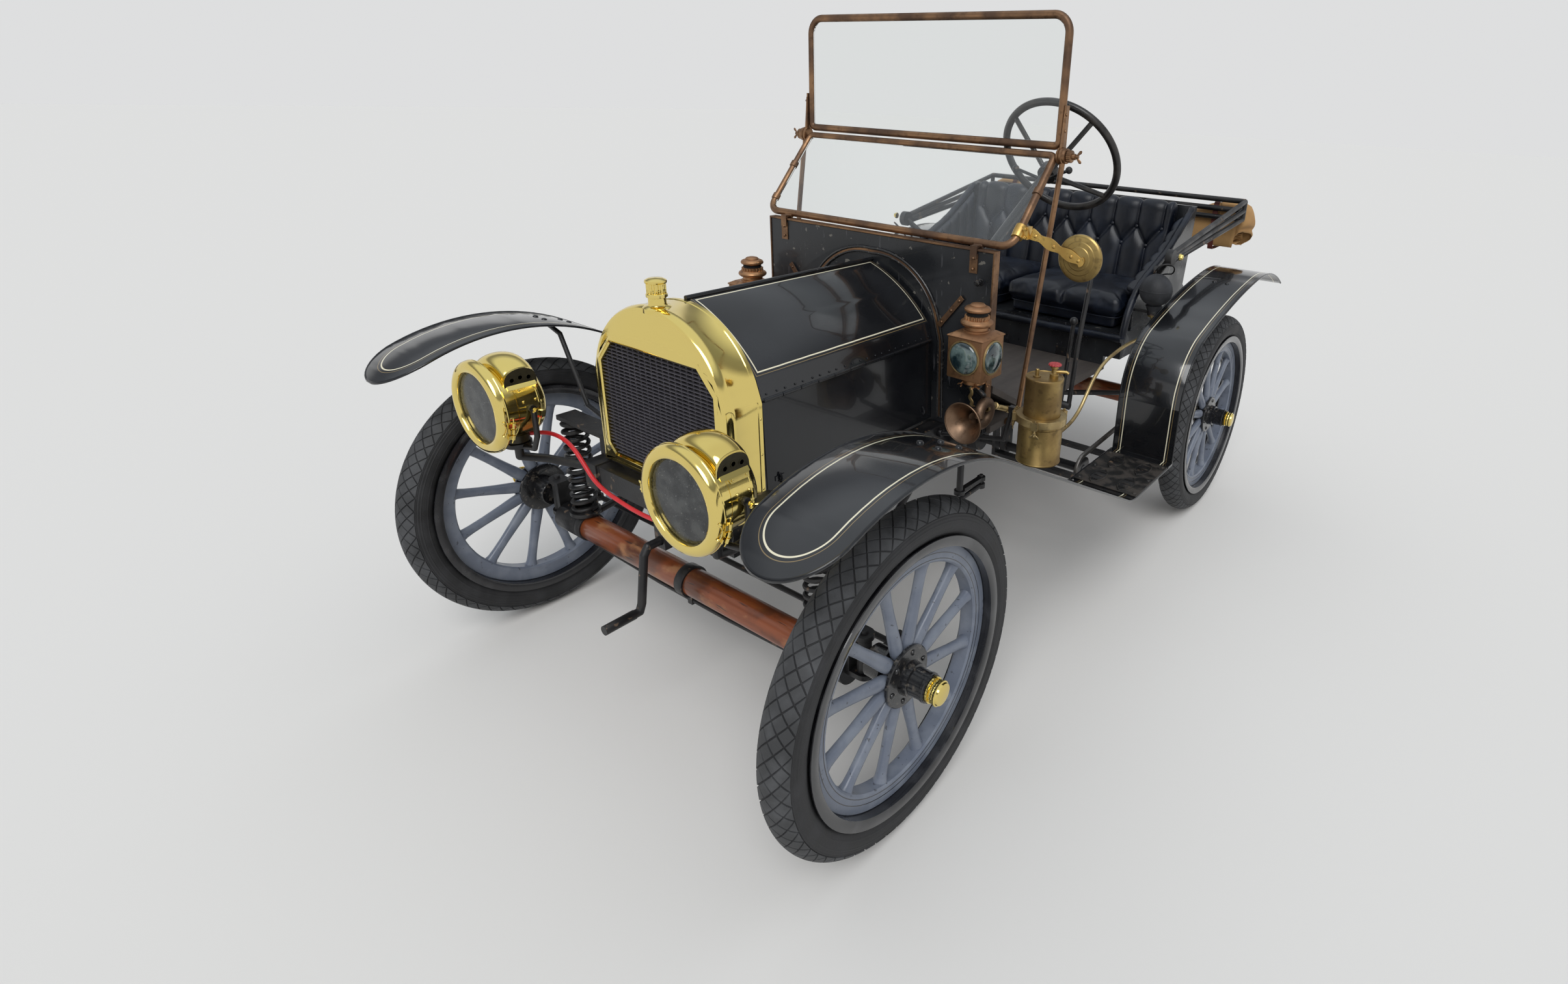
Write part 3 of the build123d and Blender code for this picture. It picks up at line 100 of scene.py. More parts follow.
# %% [markdown]
# Wheels, lamps and bolts are all round, so a few small sums come back again and again: points and angles
# round an axis, and a value kept between 0 and 1.

# %% Small sums
def around(angle, radius=1.0, height=0.0):
    """A point at an angle round Z."""
    return Vector((radius * cos(angle), radius * sin(angle), height))


def turns(count, start=0.0):
    """The angles of a full turn in equal steps, from a share of the first step."""
    return [tau * (step + start) / count for step in range(count)]


def clamp(value):
    return max(0.0, min(1.0, value))


def squarish(value, power):
    """A sine or cosine, drawn out to the corners of its square."""
    return copysign(abs(value) ** power, value)


def rectangle(x, y):
    """The corners of a rectangle from its half sizes."""
    return [(-x, -y), (x, -y), (x, y), (-x, y)]


def link(name, data):
    """An object in the scene for a mesh, curve, lamp or camera."""
    made = bpy.data.objects.new(name, data)
    bpy.context.collection.objects.link(made)
    return made


print("quarter turns", [round(angle, 3) for angle in turns(4)])

# %% [markdown]
# ## The camera
#
# The photograph was taken from the car's left front corner, a little above head height, with a wide lens.
# Its place and turn were found by matching points of the car. The photograph is a crop, so the lens is
# shifted a little, instead of turning the camera away from where it stood.

# %% Camera
yaw, pitch, roll = radians(-34.69), radians(21.48), radians(-2.33)
picture_width, focal_pixels = 2410, 1252.46
shift_across, shift_up = -232.13, -125.45
forward = Vector((sin(yaw) * cos(pitch), cos(yaw) * cos(pitch), -sin(pitch)))
level_right = Vector((cos(yaw), -sin(yaw), 0))
level_down = forward.cross(level_right)
right = cos(roll) * level_right + sin(roll) * level_down
down = cos(roll) * level_down - sin(roll) * level_right

camera_data = bpy.data.cameras.new("camera")
camera_data.sensor_fit = "HORIZONTAL"
camera_data.sensor_width = 36
camera_data.lens = focal_pixels / picture_width * 36
camera_data.shift_x = shift_across / picture_width
camera_data.shift_y = shift_up / picture_width
camera = link("camera", camera_data)
camera.matrix_world = Matrix((right, -down, -forward)).transposed().to_4x4()
camera.location = at(1.58036, -1.16508, 1.5998)
bpy.context.scene.camera = camera
bpy.context.scene.view_settings.view_transform = "Standard"
print("lens", round(camera_data.lens, 2), "mm")

# %% [markdown]
# ## Writing a finish
#
# A finish such as worn brass is a small sum: this much shine, less where it is dusty. To write such sums as
# plain Python, one class holds a socket of the material and gives the usual operators a meaning. Every
# other node is made by one method, which sets the node up first and then feeds its sockets.

# %% Sums on sockets
class Wire:
    """A socket of a finish, for use in Python sums."""

    def __init__(self, finish, socket):
        self.finish = finish
        self.socket = socket

    def sum(self, operation, *values):
        return self.finish.node("ShaderNodeMath", {"operation": operation}, dict(enumerate(values)))

    def __add__(self, other):
        return self.sum("ADD", self, other)

    def __radd__(self, other):
        return self.sum("ADD", other, self)

    def __sub__(self, other):
        return self.sum("SUBTRACT", self, other)

    def __rsub__(self, other):
        return self.sum("SUBTRACT", other, self)

    def __mul__(self, other):
        return self.sum("MULTIPLY", self, other)

    def __lt__(self, other):
        return self.sum("LESS_THAN", self, other)

    def __abs__(self):
        return self.sum("ABSOLUTE", self)

    def root(self):
        return self.sum("SQRT", self)

    def sine(self):
        return self.sum("SINE", self)

    def lower(self, other):
        return self.sum("MINIMUM", self, other)


# %% One finish
class Finish:
    """A material, with its colour, shine and relief as sums over the surface."""

    def __init__(self, name, slot=None, roughness=0.5, metallic=0.0, coat=0.0):
        self.material = bpy.data.materials.new(name)
        self.material.use_nodes = True
        self.tree = self.material.node_tree
        self.shader = self.tree.nodes["Principled BSDF"]
        self.slot = slot
        self.set("Roughness", roughness)
        self.set("Metallic", metallic)
        self.set("Coat Weight", coat)

    def node(self, kind, settings=None, sockets=None, output=0):
        """Any node: its type, its settings, then the values or links of its sockets."""
        node = self.tree.nodes.new(kind)
        for key, value in (settings or {}).items():
            setattr(node, key, value)
        for key, value in (sockets or {}).items():
            self.feed(node.inputs[key], value)
        return Wire(self, node.outputs[output])

    def feed(self, socket, value):
        if isinstance(value, Wire):
            self.tree.links.new(value.socket, socket)
        elif isinstance(value, tuple) and len(socket.default_value) == 4:
            socket.default_value = (*value, 1)
        else:
            socket.default_value = value

    def set(self, name, value):
        self.feed(self.shader.inputs[name], value)

    def place(self):
        """The surface's own place, in the frame's metres."""
        return self.node("ShaderNodeTexCoord", output="Object")

    def axes(self):
        """Metres across, back from the front axle, and up, as three sockets."""
        split = self.node("ShaderNodeSeparateXYZ", None, {0: self.place()})
        x, y, z = (Wire(self, output) for output in split.socket.node.outputs)
        return x, y - front_axle_y, z

    def step(self, value, low, high):
        """0 below low, 1 above high, and a soft change between."""
        return self.node("ShaderNodeMapRange", {"interpolation_type": "SMOOTHSTEP"},
                         {0: value, 1: low, 2: high, 3: 0.0, 4: 1.0})

    def noise(self, scale, detail=3, low=None, high=None, stretch=(1, 1, 1)):
        """Cloudy values from 0 to 1. With low and high they are patches with soft edges."""
        where = self.node("ShaderNodeVectorMath", {"operation": "MULTIPLY"}, {0: self.place(), 1: stretch})
        cloud = self.node("ShaderNodeTexNoise", None, {"Vector": where, "Scale": scale, "Detail": detail})
        return cloud if low is None else self.step(cloud, low, high)

    def cells(self, scale):
        """Distance to the nearest of many scattered points, in their own spacing."""
        return self.node("ShaderNodeTexVoronoi", None, {"Vector": self.place(), "Scale": scale}, "Distance")

    def mix(self, amount, first, second):
        """A colour between two."""
        return self.node("ShaderNodeMix", {"data_type": "RGBA"}, {0: amount, 6: first, 7: second}, 2)

    def relief(self, height, metres):
        """A bumpy surface from heights between 0 and 1."""
        self.set("Normal", self.node("ShaderNodeBump", None, {"Height": height, "Distance": metres}))


def hue(code):
    """A colour from its usual six-figure code, as the linear values that shaders use."""
    parts = [int(code[place:place + 2], 16) / 255 for place in (0, 2, 4)]
    return tuple(part / 12.92 if part <= 0.04045 else ((part + 0.055) / 1.055) ** 2.4 for part in parts)


print("pure orange in a shader", [round(part, 3) for part in hue("ff8000")])

# %% [markdown]
# ## The finishes
#
# Coach paint is black lacquer, rubbed and polished, so its colour hardly shows and the sky in it does. A
# clear coat over a dark base gives that. Dust lies on it in soft patches and a few specks, which is mostly
# a change of roughness. The fine cream lines follow the panels' edges at a steady distance, so they are
# worked out from the distance to the edge instead of being drawn.

# %% Coach paint
def coach_paint(name, line_distance=None, gloss=0.6):
    """Black lacquer, lined in cream, thick and thin, where line_distance is the distance to an edge."""
    paint = Finish(name, "black_paint", coat=gloss)
    paint.set("Specular IOR Level", 0.2 + gloss / 2)
    dust = paint.noise(3.2, 5, 0.42, 0.72)
    specks = (1 - paint.step(paint.cells(70), 0.055, 0.085)) * paint.noise(9, 3, 0.56, 0.6)
    colour = paint.mix(dust * 0.5, (0.0065, 0.007, 0.0085), (0.02, 0.022, 0.026))
    colour = paint.mix(specks * 0.7, colour, (0.0015, 0.0015, 0.0015))
    rough = 0.16 + dust * 0.12
    if line_distance:
        distance = line_distance(paint) + (paint.noise(18, 1) - 0.5) * 0.0012
        thick = 1 - paint.step(abs(distance - 0.041), 0.0014, 0.0019)
        thin = 1 - paint.step(abs(distance - 0.0325), 0.0006, 0.001)
        colour = paint.mix(thick * 0.95, colour, hue("e6dfc4"))
        colour = paint.mix(thin * 0.75, colour, hue("8f7a52"))
        rough = rough + thick * 0.15
    paint.set("Base Color", colour)
    paint.set("Roughness", rough)
    paint.relief(paint.noise(2.4, 2), 0.0008)
    return paint


fender_tip_y, fender_tip_radius = -0.284, 0.111


def front_fender_distance(paint):
    """To the fender's two sides, and to the half circle that ends it in front."""
    x, y, _ = paint.axes()
    x = abs(x)
    sides = (x - 0.600).lower(0.822 - x)
    across, back = x - half_track, y - fender_tip_y
    radius = (across * across + back * back).root()
    at_tip = y < fender_tip_y
    return at_tip * (fender_tip_radius - radius) + (1 - at_tip) * sides


def rear_fender_distance(paint):
    """To the fender's two sides. Its lines lie 12 mm nearer to them than the front one's."""
    x = abs(paint.axes()[0])
    return (x - 0.606).lower(0.822 - x) + 0.012


def hood_distance(paint):
    """To the ends of the curved top panel, its rod and its shoulder, with lines 27 mm nearer to them."""
    x, y, z = paint.axes()
    ends = (y - 0.058).lower(0.738 - y)
    rod = abs(x) * 1.05
    shoulder = (z - 0.960) * 1.29
    return ends.lower(rod).lower(shoulder) + 0.027


fender_paint = coach_paint("fender_paint", front_fender_distance)
rear_fender_paint = coach_paint("rear_fender_paint", rear_fender_distance)
hood_paint = coach_paint("hood_paint", hood_distance, 0.45)
coach_black = coach_paint("coach_black", None, 0.25)
print("coach paint with and without lines", len(hood_paint.tree.nodes), len(coach_black.tree.nodes), "nodes")

# %% [markdown]
# Most other finishes wear in the same way: soft patches take one colour over into another and dull it, and
# small marks go down to a third. One function writes them all from their own numbers.

# %% A worn finish
def worn(name, slot, colours, wear, rough, share=1.0, marks=(), bumps=(), metallic=0.0, coat=0.0):
    """A finish of two colours, mixed by the noise of wear, with rough as its least roughness and its gain.

    The gain follows the wear, or else the noise that rough goes on with. marks is a strength and the noise
    of small marks in a third colour; bumps is the noise of a relief and its height in metres.
    """
    finish = Finish(name, slot, metallic=metallic, coat=coat)
    amount = finish.noise(*wear)
    colour = finish.mix(amount * share, *colours[:2])
    if marks:
        strength, *spots = marks
        colour = finish.mix(finish.noise(*spots) * strength, colour, colours[2])
    finish.set("Base Color", colour)
    least, gain, *grain = rough
    finish.set("Roughness", least + (finish.noise(*grain) if grain else amount) * gain if gain else least)
    if bumps:
        scale, detail, metres = bumps
        finish.relief(finish.noise(scale, detail), metres)
    return finish


# %% [markdown]
# Brass is two finishes here. The lamps and the radiator are polished every week, so they are a clean yellow
# metal with only faint smears. The fittings by the dash have been left alone: their yellow has gone brown
# and dull in patches, and the hollows stay dark.

# %% Brass and copper
bright_brass = Finish("bright_brass", "polished_brass", metallic=1.0)
smear = bright_brass.noise(14, 4, 0.35, 0.75, (1, 1, 2.5))
stain = bright_brass.noise(5, 3, 0.55, 0.8)
bright_brass.set("Base Color", bright_brass.mix(stain * 0.5, (0.82, 0.65, 0.21), (0.60, 0.42, 0.11)))
bright_brass.set("Roughness", 0.07 + smear * 0.1)
bright_brass.relief(bright_brass.noise(7, 2), 0.0006)


def aged_metal(name, clean, dull, shine, slot="aged_brass"):
    return worn(name, slot, (clean, dull, (0.05, 0.03, 0.02)), (9, 6, 0.36, 0.66), (shine, 0.22),
                marks=(0.35, 60, 3, 0.55, 0.7), bumps=(90, 2, 0.0002), metallic=0.9)


tube_brass = aged_metal("tube_brass", (0.30, 0.17, 0.09), (0.13, 0.08, 0.055), 0.34)
dull_brass = aged_metal("dull_brass", (0.50, 0.38, 0.18), (0.28, 0.20, 0.095), 0.32)
mirror_brass = aged_metal("mirror_brass", (0.42, 0.30, 0.11), (0.25, 0.175, 0.065), 0.3)
arm_brass = aged_metal("arm_brass", (0.72, 0.50, 0.16), (0.48, 0.30, 0.09), 0.24)
generator_brass = aged_metal("generator_brass", (0.40, 0.28, 0.105), (0.22, 0.145, 0.06), 0.34)
copper = aged_metal("copper", (0.50, 0.275, 0.135), (0.32, 0.175, 0.095), 0.32)
horn_copper = aged_metal("horn_copper", (0.28, 0.18, 0.115), (0.14, 0.092, 0.062), 0.34)
oily_steel = aged_metal("oily_steel", (0.20, 0.19, 0.18), (0.07, 0.06, 0.055), 0.4, "chain_steel")
engine_iron = aged_metal("engine_iron", (0.16, 0.16, 0.16), (0.08, 0.075, 0.07), 0.5, "engine_iron")
print("one aged metal takes", len(copper.tree.nodes), "nodes")

# %% [markdown]
# The running gear is black enamel over iron. It is not glossy any more: road dust sits on top faces, and the
# enamel is chipped in a few places down to brown metal. The tyres are grey with dust, and the rubber of the
# hose and the tap is red.

# %% Iron, paint and rubber
black_iron = worn("black_iron", "black_iron",
                  ((0.007, 0.007, 0.008), (0.028, 0.026, 0.025), (0.11, 0.075, 0.05)),
                  (12, 5, 0.4, 0.7), (0.34, 0.25), 0.6, (1.0, 38, 5, 0.64, 0.67), (120, 3, 0.0004))
spoke_paint = worn("wheel_paint", "wheel_paint", (hue("676e7c"), hue("858b95"), hue("3c3f45")),
                   (20, 5, 0.4, 0.7), (0.28, 0.2), 0.5, (0.8, 75, 4, 0.66, 0.7), (160, 2, 0.0002))
# Black for the steering wheel; on the radiator core behind the fins it is painted shade between them.
rim_black_and_core_shade = worn("rim_black_and_core_shade", "black_rim", ((0.012, 0.011, 0.011), (0.035, 0.03, 0.026)),
                 (22, 5, 0.45, 0.7), (0.3, 0.2))
rim_gloss = worn("rim_gloss", "black_paint", ((0.008, 0.008, 0.010), (0.03, 0.03, 0.033)),
                 (14, 5, 0.45, 0.7), (0.14, 0.2, 30, 3), coat=0.5)
hub_black = worn("hub_black", "black_iron", ((0.006, 0.006, 0.007), (0.07, 0.06, 0.05)),
                 (60, 4, 0.58, 0.68), (0.16, 0.2, 50, 3), coat=0.4)
step_iron = worn("step_iron", "aged_brass", ((0.018, 0.018, 0.018), (0.050, 0.042, 0.036)),
                 (24, 6, 0.42, 0.62), (0.36, 0.3), bumps=(200, 3, 0.0004), metallic=0.3)
dark_plate = worn("dark_plate", "black_iron", ((0.02, 0.018, 0.012), (0.06, 0.05, 0.025)),
                  (50, 3), (0.3, 0.2, 60, 2), metallic=0.4)
# Near-black for the insides of holes and gaps: painted shade where no light reaches.
painted_hole_shade = worn("painted_hole_shade", "black_iron", ((0.001, 0.001, 0.001), (0.004, 0.004, 0.004)), (90,), (0.9, 0))
fins = worn("radiator_fins", "radiator_fins", ((0.060, 0.056, 0.068), (0.12, 0.113, 0.128)),
            (30, 4), (0.4, 0.2, 20), metallic=0.3)


def tyre_rubber(name, tone, slot="tyre"):
    dusty = tuple(part * 2.2 + 0.006 for part in tone)
    return worn(name, slot, (tone, dusty), (16, 6, 0.38, 0.72), (0.62, 0.2), bumps=(260, 2, 0.0004))


tread_rubber = tyre_rubber("tread_rubber", (0.030, 0.031, 0.033))
wall_rubber = tyre_rubber("wall_rubber", (0.011, 0.011, 0.012))
bulb_rubber = tyre_rubber("bulb_rubber", (0.014, 0.015, 0.018), "black_rubber")
hose_rubber = worn("hose_rubber", "red_rubber", (hue("b3141e"), hue("d22b33")), (40,), (0.3, 0.15, 80))
tap_red = worn("tap_red", "red_rubber", (hue("8c1f22"), hue("b8474a")), (60,), (0.4, 0.2, 40))
print("black iron takes", len(black_iron.tree.nodes), "nodes")

# %% [markdown]
# The axle beams are varnished wood, stained and cracked along the grain. The leather is nearly black, with a
# faint blue, and finely grained. The canvas is a tan weave. The dash has been scratched and chipped by hands
# and feet.

# %% Wood, leather, canvas and the dash
axle_varnish = Finish("varnished_wood", "axle_wood", coat=0.25)
grain = axle_varnish.noise(60, 5, stretch=(0.10, 1, 1))
bare = axle_varnish.noise(17, 6, 0.55, 0.68, (0.45, 1, 1))
stains = axle_varnish.noise(9, 5, 0.46, 0.62, (0.7, 1, 1))
cracks = axle_varnish.noise(95, 4, 0.64, 0.70, (0.10, 1, 1))
red = axle_varnish.mix(grain, (0.34, 0.085, 0.024), (0.13, 0.034, 0.012))
red = axle_varnish.mix(stains * 0.75, red, (0.055, 0.022, 0.012))
red = axle_varnish.mix(bare * 0.75, red, (0.42, 0.20, 0.085))
axle_varnish.set("Base Color", axle_varnish.mix(cracks * 0.85, red, (0.025, 0.015, 0.012)))
axle_varnish.set("Roughness", 0.3 + bare * 0.35)
axle_varnish.relief(grain * 0.6 + (1 - cracks) * 0.4, 0.0008)

board_wood = worn("board_wood", "floor_wood", ((0.035, 0.03, 0.028), (0.09, 0.075, 0.065)),
                  (40, 5, None, None, (1, 0.1, 1)), (0.55, 0.2, 30))
seat_hide = worn("buttoned_leather", "seat_leather", (hue("0b0f18"), hue("18202f")),
                 (11, 4, 0.4, 0.7), (0.29, 0.12), 0.6)
seat_hide.set("Specular IOR Level", 0.4)
seat_hide.relief(seat_hide.cells(900), 0.0002)
strap_hide = worn("strap_leather", "seat_leather", (hue("4e2320"), hue("74392f")), (60, 4), (0.45, 0.2, 40))

tan_canvas = worn("tan_canvas", "canvas", (hue("b8905c"), hue("967046")),
                  (7, 5, 0.35, 0.75, (0.5, 1, 1)), (0.85, 0))
threads = 2600
x, _, z = tan_canvas.axes()
weave = (x * threads).sine() * 0.5 + (z * threads).sine() * 0.5
tan_canvas.relief(weave * 0.2 + tan_canvas.noise(30, 4), 0.0012)

dash_paint = Finish("dash_paint", "black_paint", coat=0.2)
scratches = dash_paint.noise(120, 5, 0.66, 0.70, (1, 1, 0.12))
chips = dash_paint.noise(34, 6, 0.66, 0.69)
dull = dash_paint.noise(7, 4, 0.4, 0.7)
black = dash_paint.mix(dull * 0.6, (0.008, 0.009, 0.011), (0.022, 0.024, 0.028))
black = dash_paint.mix(scratches * 0.4, black, (0.10, 0.10, 0.11))
dash_paint.set("Base Color", dash_paint.mix(chips * 0.8, black, (0.16, 0.15, 0.13)))
dash_paint.set("Roughness", 0.24 + dull * 0.22)
print("varnish takes", len(axle_varnish.tree.nodes), "nodes")

# %% [markdown]
# The windscreen is clear. The headlamps' glass is hazy and dusty inside, so little shows through it, and the
# side lamps' lenses are a dark blue green: partly the glass's own tint, partly painted shade of the lamp's
# dark inside.

# %% Glass
window_glass = Finish("window_glass", "window_glass", roughness=0.02)
window_glass.set("Base Color", (0.96, 0.98, 0.97))
window_glass.set("Transmission Weight", 1.0)

lamp_glass = Finish("lamp_glass", "lamp_glass")
film = lamp_glass.noise(26, 6, 0.35, 0.7)
haze = lamp_glass.mix(film, hue("26282a"), hue("404242"))
lamp_glass.set("Base Color", lamp_glass.mix(lamp_glass.noise(220, 2, 0.66, 0.7) * 0.6, haze, hue("8d8d8a")))
lamp_glass.set("Roughness", 0.1 + film * 0.25)
lamp_glass.set("Alpha", 0.82 + film * 0.15)

# The side lamps' lenses are opaque: their dark blue green is partly the glass's tint and partly painted shade
# of the lamp's inside.
lens_tint_and_shade = worn("lens_tint_and_shade", "lamp_glass", (hue("15262b"), hue("5d6f6e")), (30, 3, 0.4, 0.65), (0.04, 0),
                  coat=1.0)
print("materials", len(bpy.data.materials))

# %% [markdown]
# ## Dressing the CAD pieces
#
# Where a CAD piece already has the right shape, it stays, and only gets its finish and slightly rounded
# edges. Its triangles come in unjoined, so they are welded first, and the edges are then eased by a bevel
# that only touches sharp corners.

# %% Dress the nodes
def ease_edges(made, width, degrees):
    ease = made.modifiers.new("ease", "BEVEL")
    ease.width = width
    ease.segments = 2
    ease.limit_method = "ANGLE"
    ease.angle_limit = radians(degrees)
    ease.harden_normals = True


def dress(finish, names, edge=0.0015, passes=1):
    """Give nodes their finish and eased edges. A second pass makes the edges rounder."""
    for name in names.split():
        node = nodes[name]
        node.data.materials.clear()
        node.data.materials.append(finish.material)
        for _ in range(passes):
            node.modifiers.new("weld", "WELD").merge_threshold = 1e-5
            if edge:
                ease_edges(node, edge, 40)


dress(fender_paint, "front_fenders", 0.0012)
dress(rear_fender_paint, "rear_fenders", 0.0012)
dress(hood_paint, "hood_left_top hood_right_top", 0.0008)
dress(coach_black, "hood_left_side hood_right_side hood_rod")
dress(dash_paint, "dash_panel seat_box rear_deck", passes=2)
dress(black_iron, "axle_irons left_knuckle right_knuckle tie_rod drag_link pitman_arm chassis_frame "
      "radius_rods fender_irons jackshaft starting_crank lamp_brackets hand_levers top_bows steering_column "
      "coil_springs")
dress(axle_varnish, "axle_beams")
dress(oily_steel, "drive_chains")
dress(engine_iron, "engine", 0.004)
# The radiator core behind the fins gets this near-black too: painted shade in the gaps between the fins.
dress(rim_black_and_core_shade, "steering_wheel radiator_core")
dress(bright_brass, "radiator_shell headlamp_shells headlamp_rims", 0.003)
dress(arm_brass, "mirror")
dress(tube_brass, "dash_trim screen_frames screen_fittings", 0.001)
dress(step_iron, "step_plates", 0.001, passes=2)
dress(copper, "side_lamp_bodies", 0.002)
dress(horn_copper, "horn")
dress(dull_brass, "gas_generator horn_tube")
dress(board_wood, "floor_boards")
dress(seat_hide, "seat_cushions seat_back")
dress(tan_canvas, "top_bundle")
dress(window_glass, "screen_glass", 0)
dress(lamp_glass, "lamp_glasses", 0)
dress(bulb_rubber, "horn_bulb")
dress(hose_rubber, "gas_hose", 0)
for corner, side, y in road_wheels:
    dress(spoke_paint, corner + "_wheel")
    dress(wall_rubber, corner + "_tyre")
print("undressed nodes", [name for name, node in nodes.items() if not node.data.materials])

# %% [markdown]
# ## The gas hose
#
# Both headlamps get their gas through one red rubber hose. It leaves a lamp's foot straight, droops under its
# own weight across the front of the radiator, and ends in the other lamp. A smooth spline through a few
# control points gives the even bends that rubber takes.

# %% Gas hose
hose_points = places("-364.85 -181.76 737, -349.85 -155.76 737, -310 -146 738, -264 -144 733, "
                     "-222 -146 716, -188 -148 690, -152 -150 660, -106 -150 642, -50 -150 634, "
                     "12 -152 630, 78 -154 632, 144 -155 642, 204 -154 662, 256 -151 690, 306 -147 720, "
                     "349.85 -155.76 737, 364.85 -181.76 737")
hose_curve = bpy.data.curves.new("gas_hose_line", "CURVE")
hose_curve.dimensions = "3D"
hose_curve.bevel_depth = 0.0055
hose_curve.bevel_resolution = 4
hose_curve.use_fill_caps = True
hose_spline = hose_curve.splines.new("NURBS")
hose_spline.points.add(len(hose_points) - 1)
for control, point in zip(hose_spline.points, hose_points):
    control.co = (*point, 1)
hose_spline.order_u = 3
hose_spline.use_endpoint_u = True
hose_spline.resolution_u = 10
gas_hose = link("gas_hose_line", hose_curve)
hose_curve.materials.append(hose_rubber.material)
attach(gas_hose, "car")
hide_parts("gas_hose")
print("hose points", len(hose_points))

# %% [markdown]
# ## Floor and light
#
# The car stands on a plain pale floor. Polished brass and black lacquer show what is round them more than
# their own colour. So one sky serves the camera, the metal and the glass alike: plain and pale round the
# horizon, where the camera looks, a darker band above that, and bright overhead. The band gives the brass its
# dark lines. Broad daylight comes from the left front.

# %% Floor, sky and lamp
floor_mesh = bpy.data.meshes.new("floor")
floor_mesh.from_pydata([(x, y, 0) for x, y in rectangle(40, 40)], [], [(0, 1, 2, 3)])
ground = link("floor", floor_mesh)
floor_finish = Finish("pale_floor", roughness=1.0)
floor_finish.set("Base Color", (0.753, 0.737, 0.712))
floor_finish.set("Specular IOR Level", 0.0)
ground.data.materials.append(floor_finish.material)

world = bpy.data.worlds.new("studio")
bpy.context.scene.world = world
world.use_nodes = True
sky = world.node_tree
direction = sky.nodes.new("ShaderNodeTexCoord")
height = sky.nodes.new("ShaderNodeSeparateXYZ")
ramp = sky.nodes.new("ShaderNodeValToRGB")
sky.links.new(direction.outputs["Generated"], height.inputs[0])
sky.links.new(height.outputs["Z"], ramp.inputs[0])
stops = ramp.color_ramp.elements
stops[0].position, stops[0].color = 0.34, (0.86, 0.865, 0.87, 1)
stops[1].position, stops[1].color = 0.76, (0.90, 0.95, 1.0, 1)
for rise, colour in ((0.44, (0.30, 0.31, 0.33, 1)), (0.56, (0.34, 0.36, 0.39, 1))):
    stops.new(rise).color = colour
background = sky.nodes["Background"]
sky.links.new(ramp.outputs[0], background.inputs["Color"])
background.inputs["Strength"].default_value = 0.85

daylight = bpy.data.lights.new("daylight", "SUN")
daylight.energy = 1.5
daylight.angle = radians(38)
from_left_front = (2.4, -3.4, 4.6)
link("daylight", daylight).matrix_world = facing(from_left_front, from_left_front)
print("sky stops", len(stops))

# %% [markdown]
# ## How a shape is made
#
# Most parts of a car like this are turned on a lathe, bent from tube or rod, or cut from plate. So there is
# one small workshop class, with one method for each of those trades. It only collects points and faces; a
# piece is made from it at the end, when it also gets its finishes and the body that it rides on.

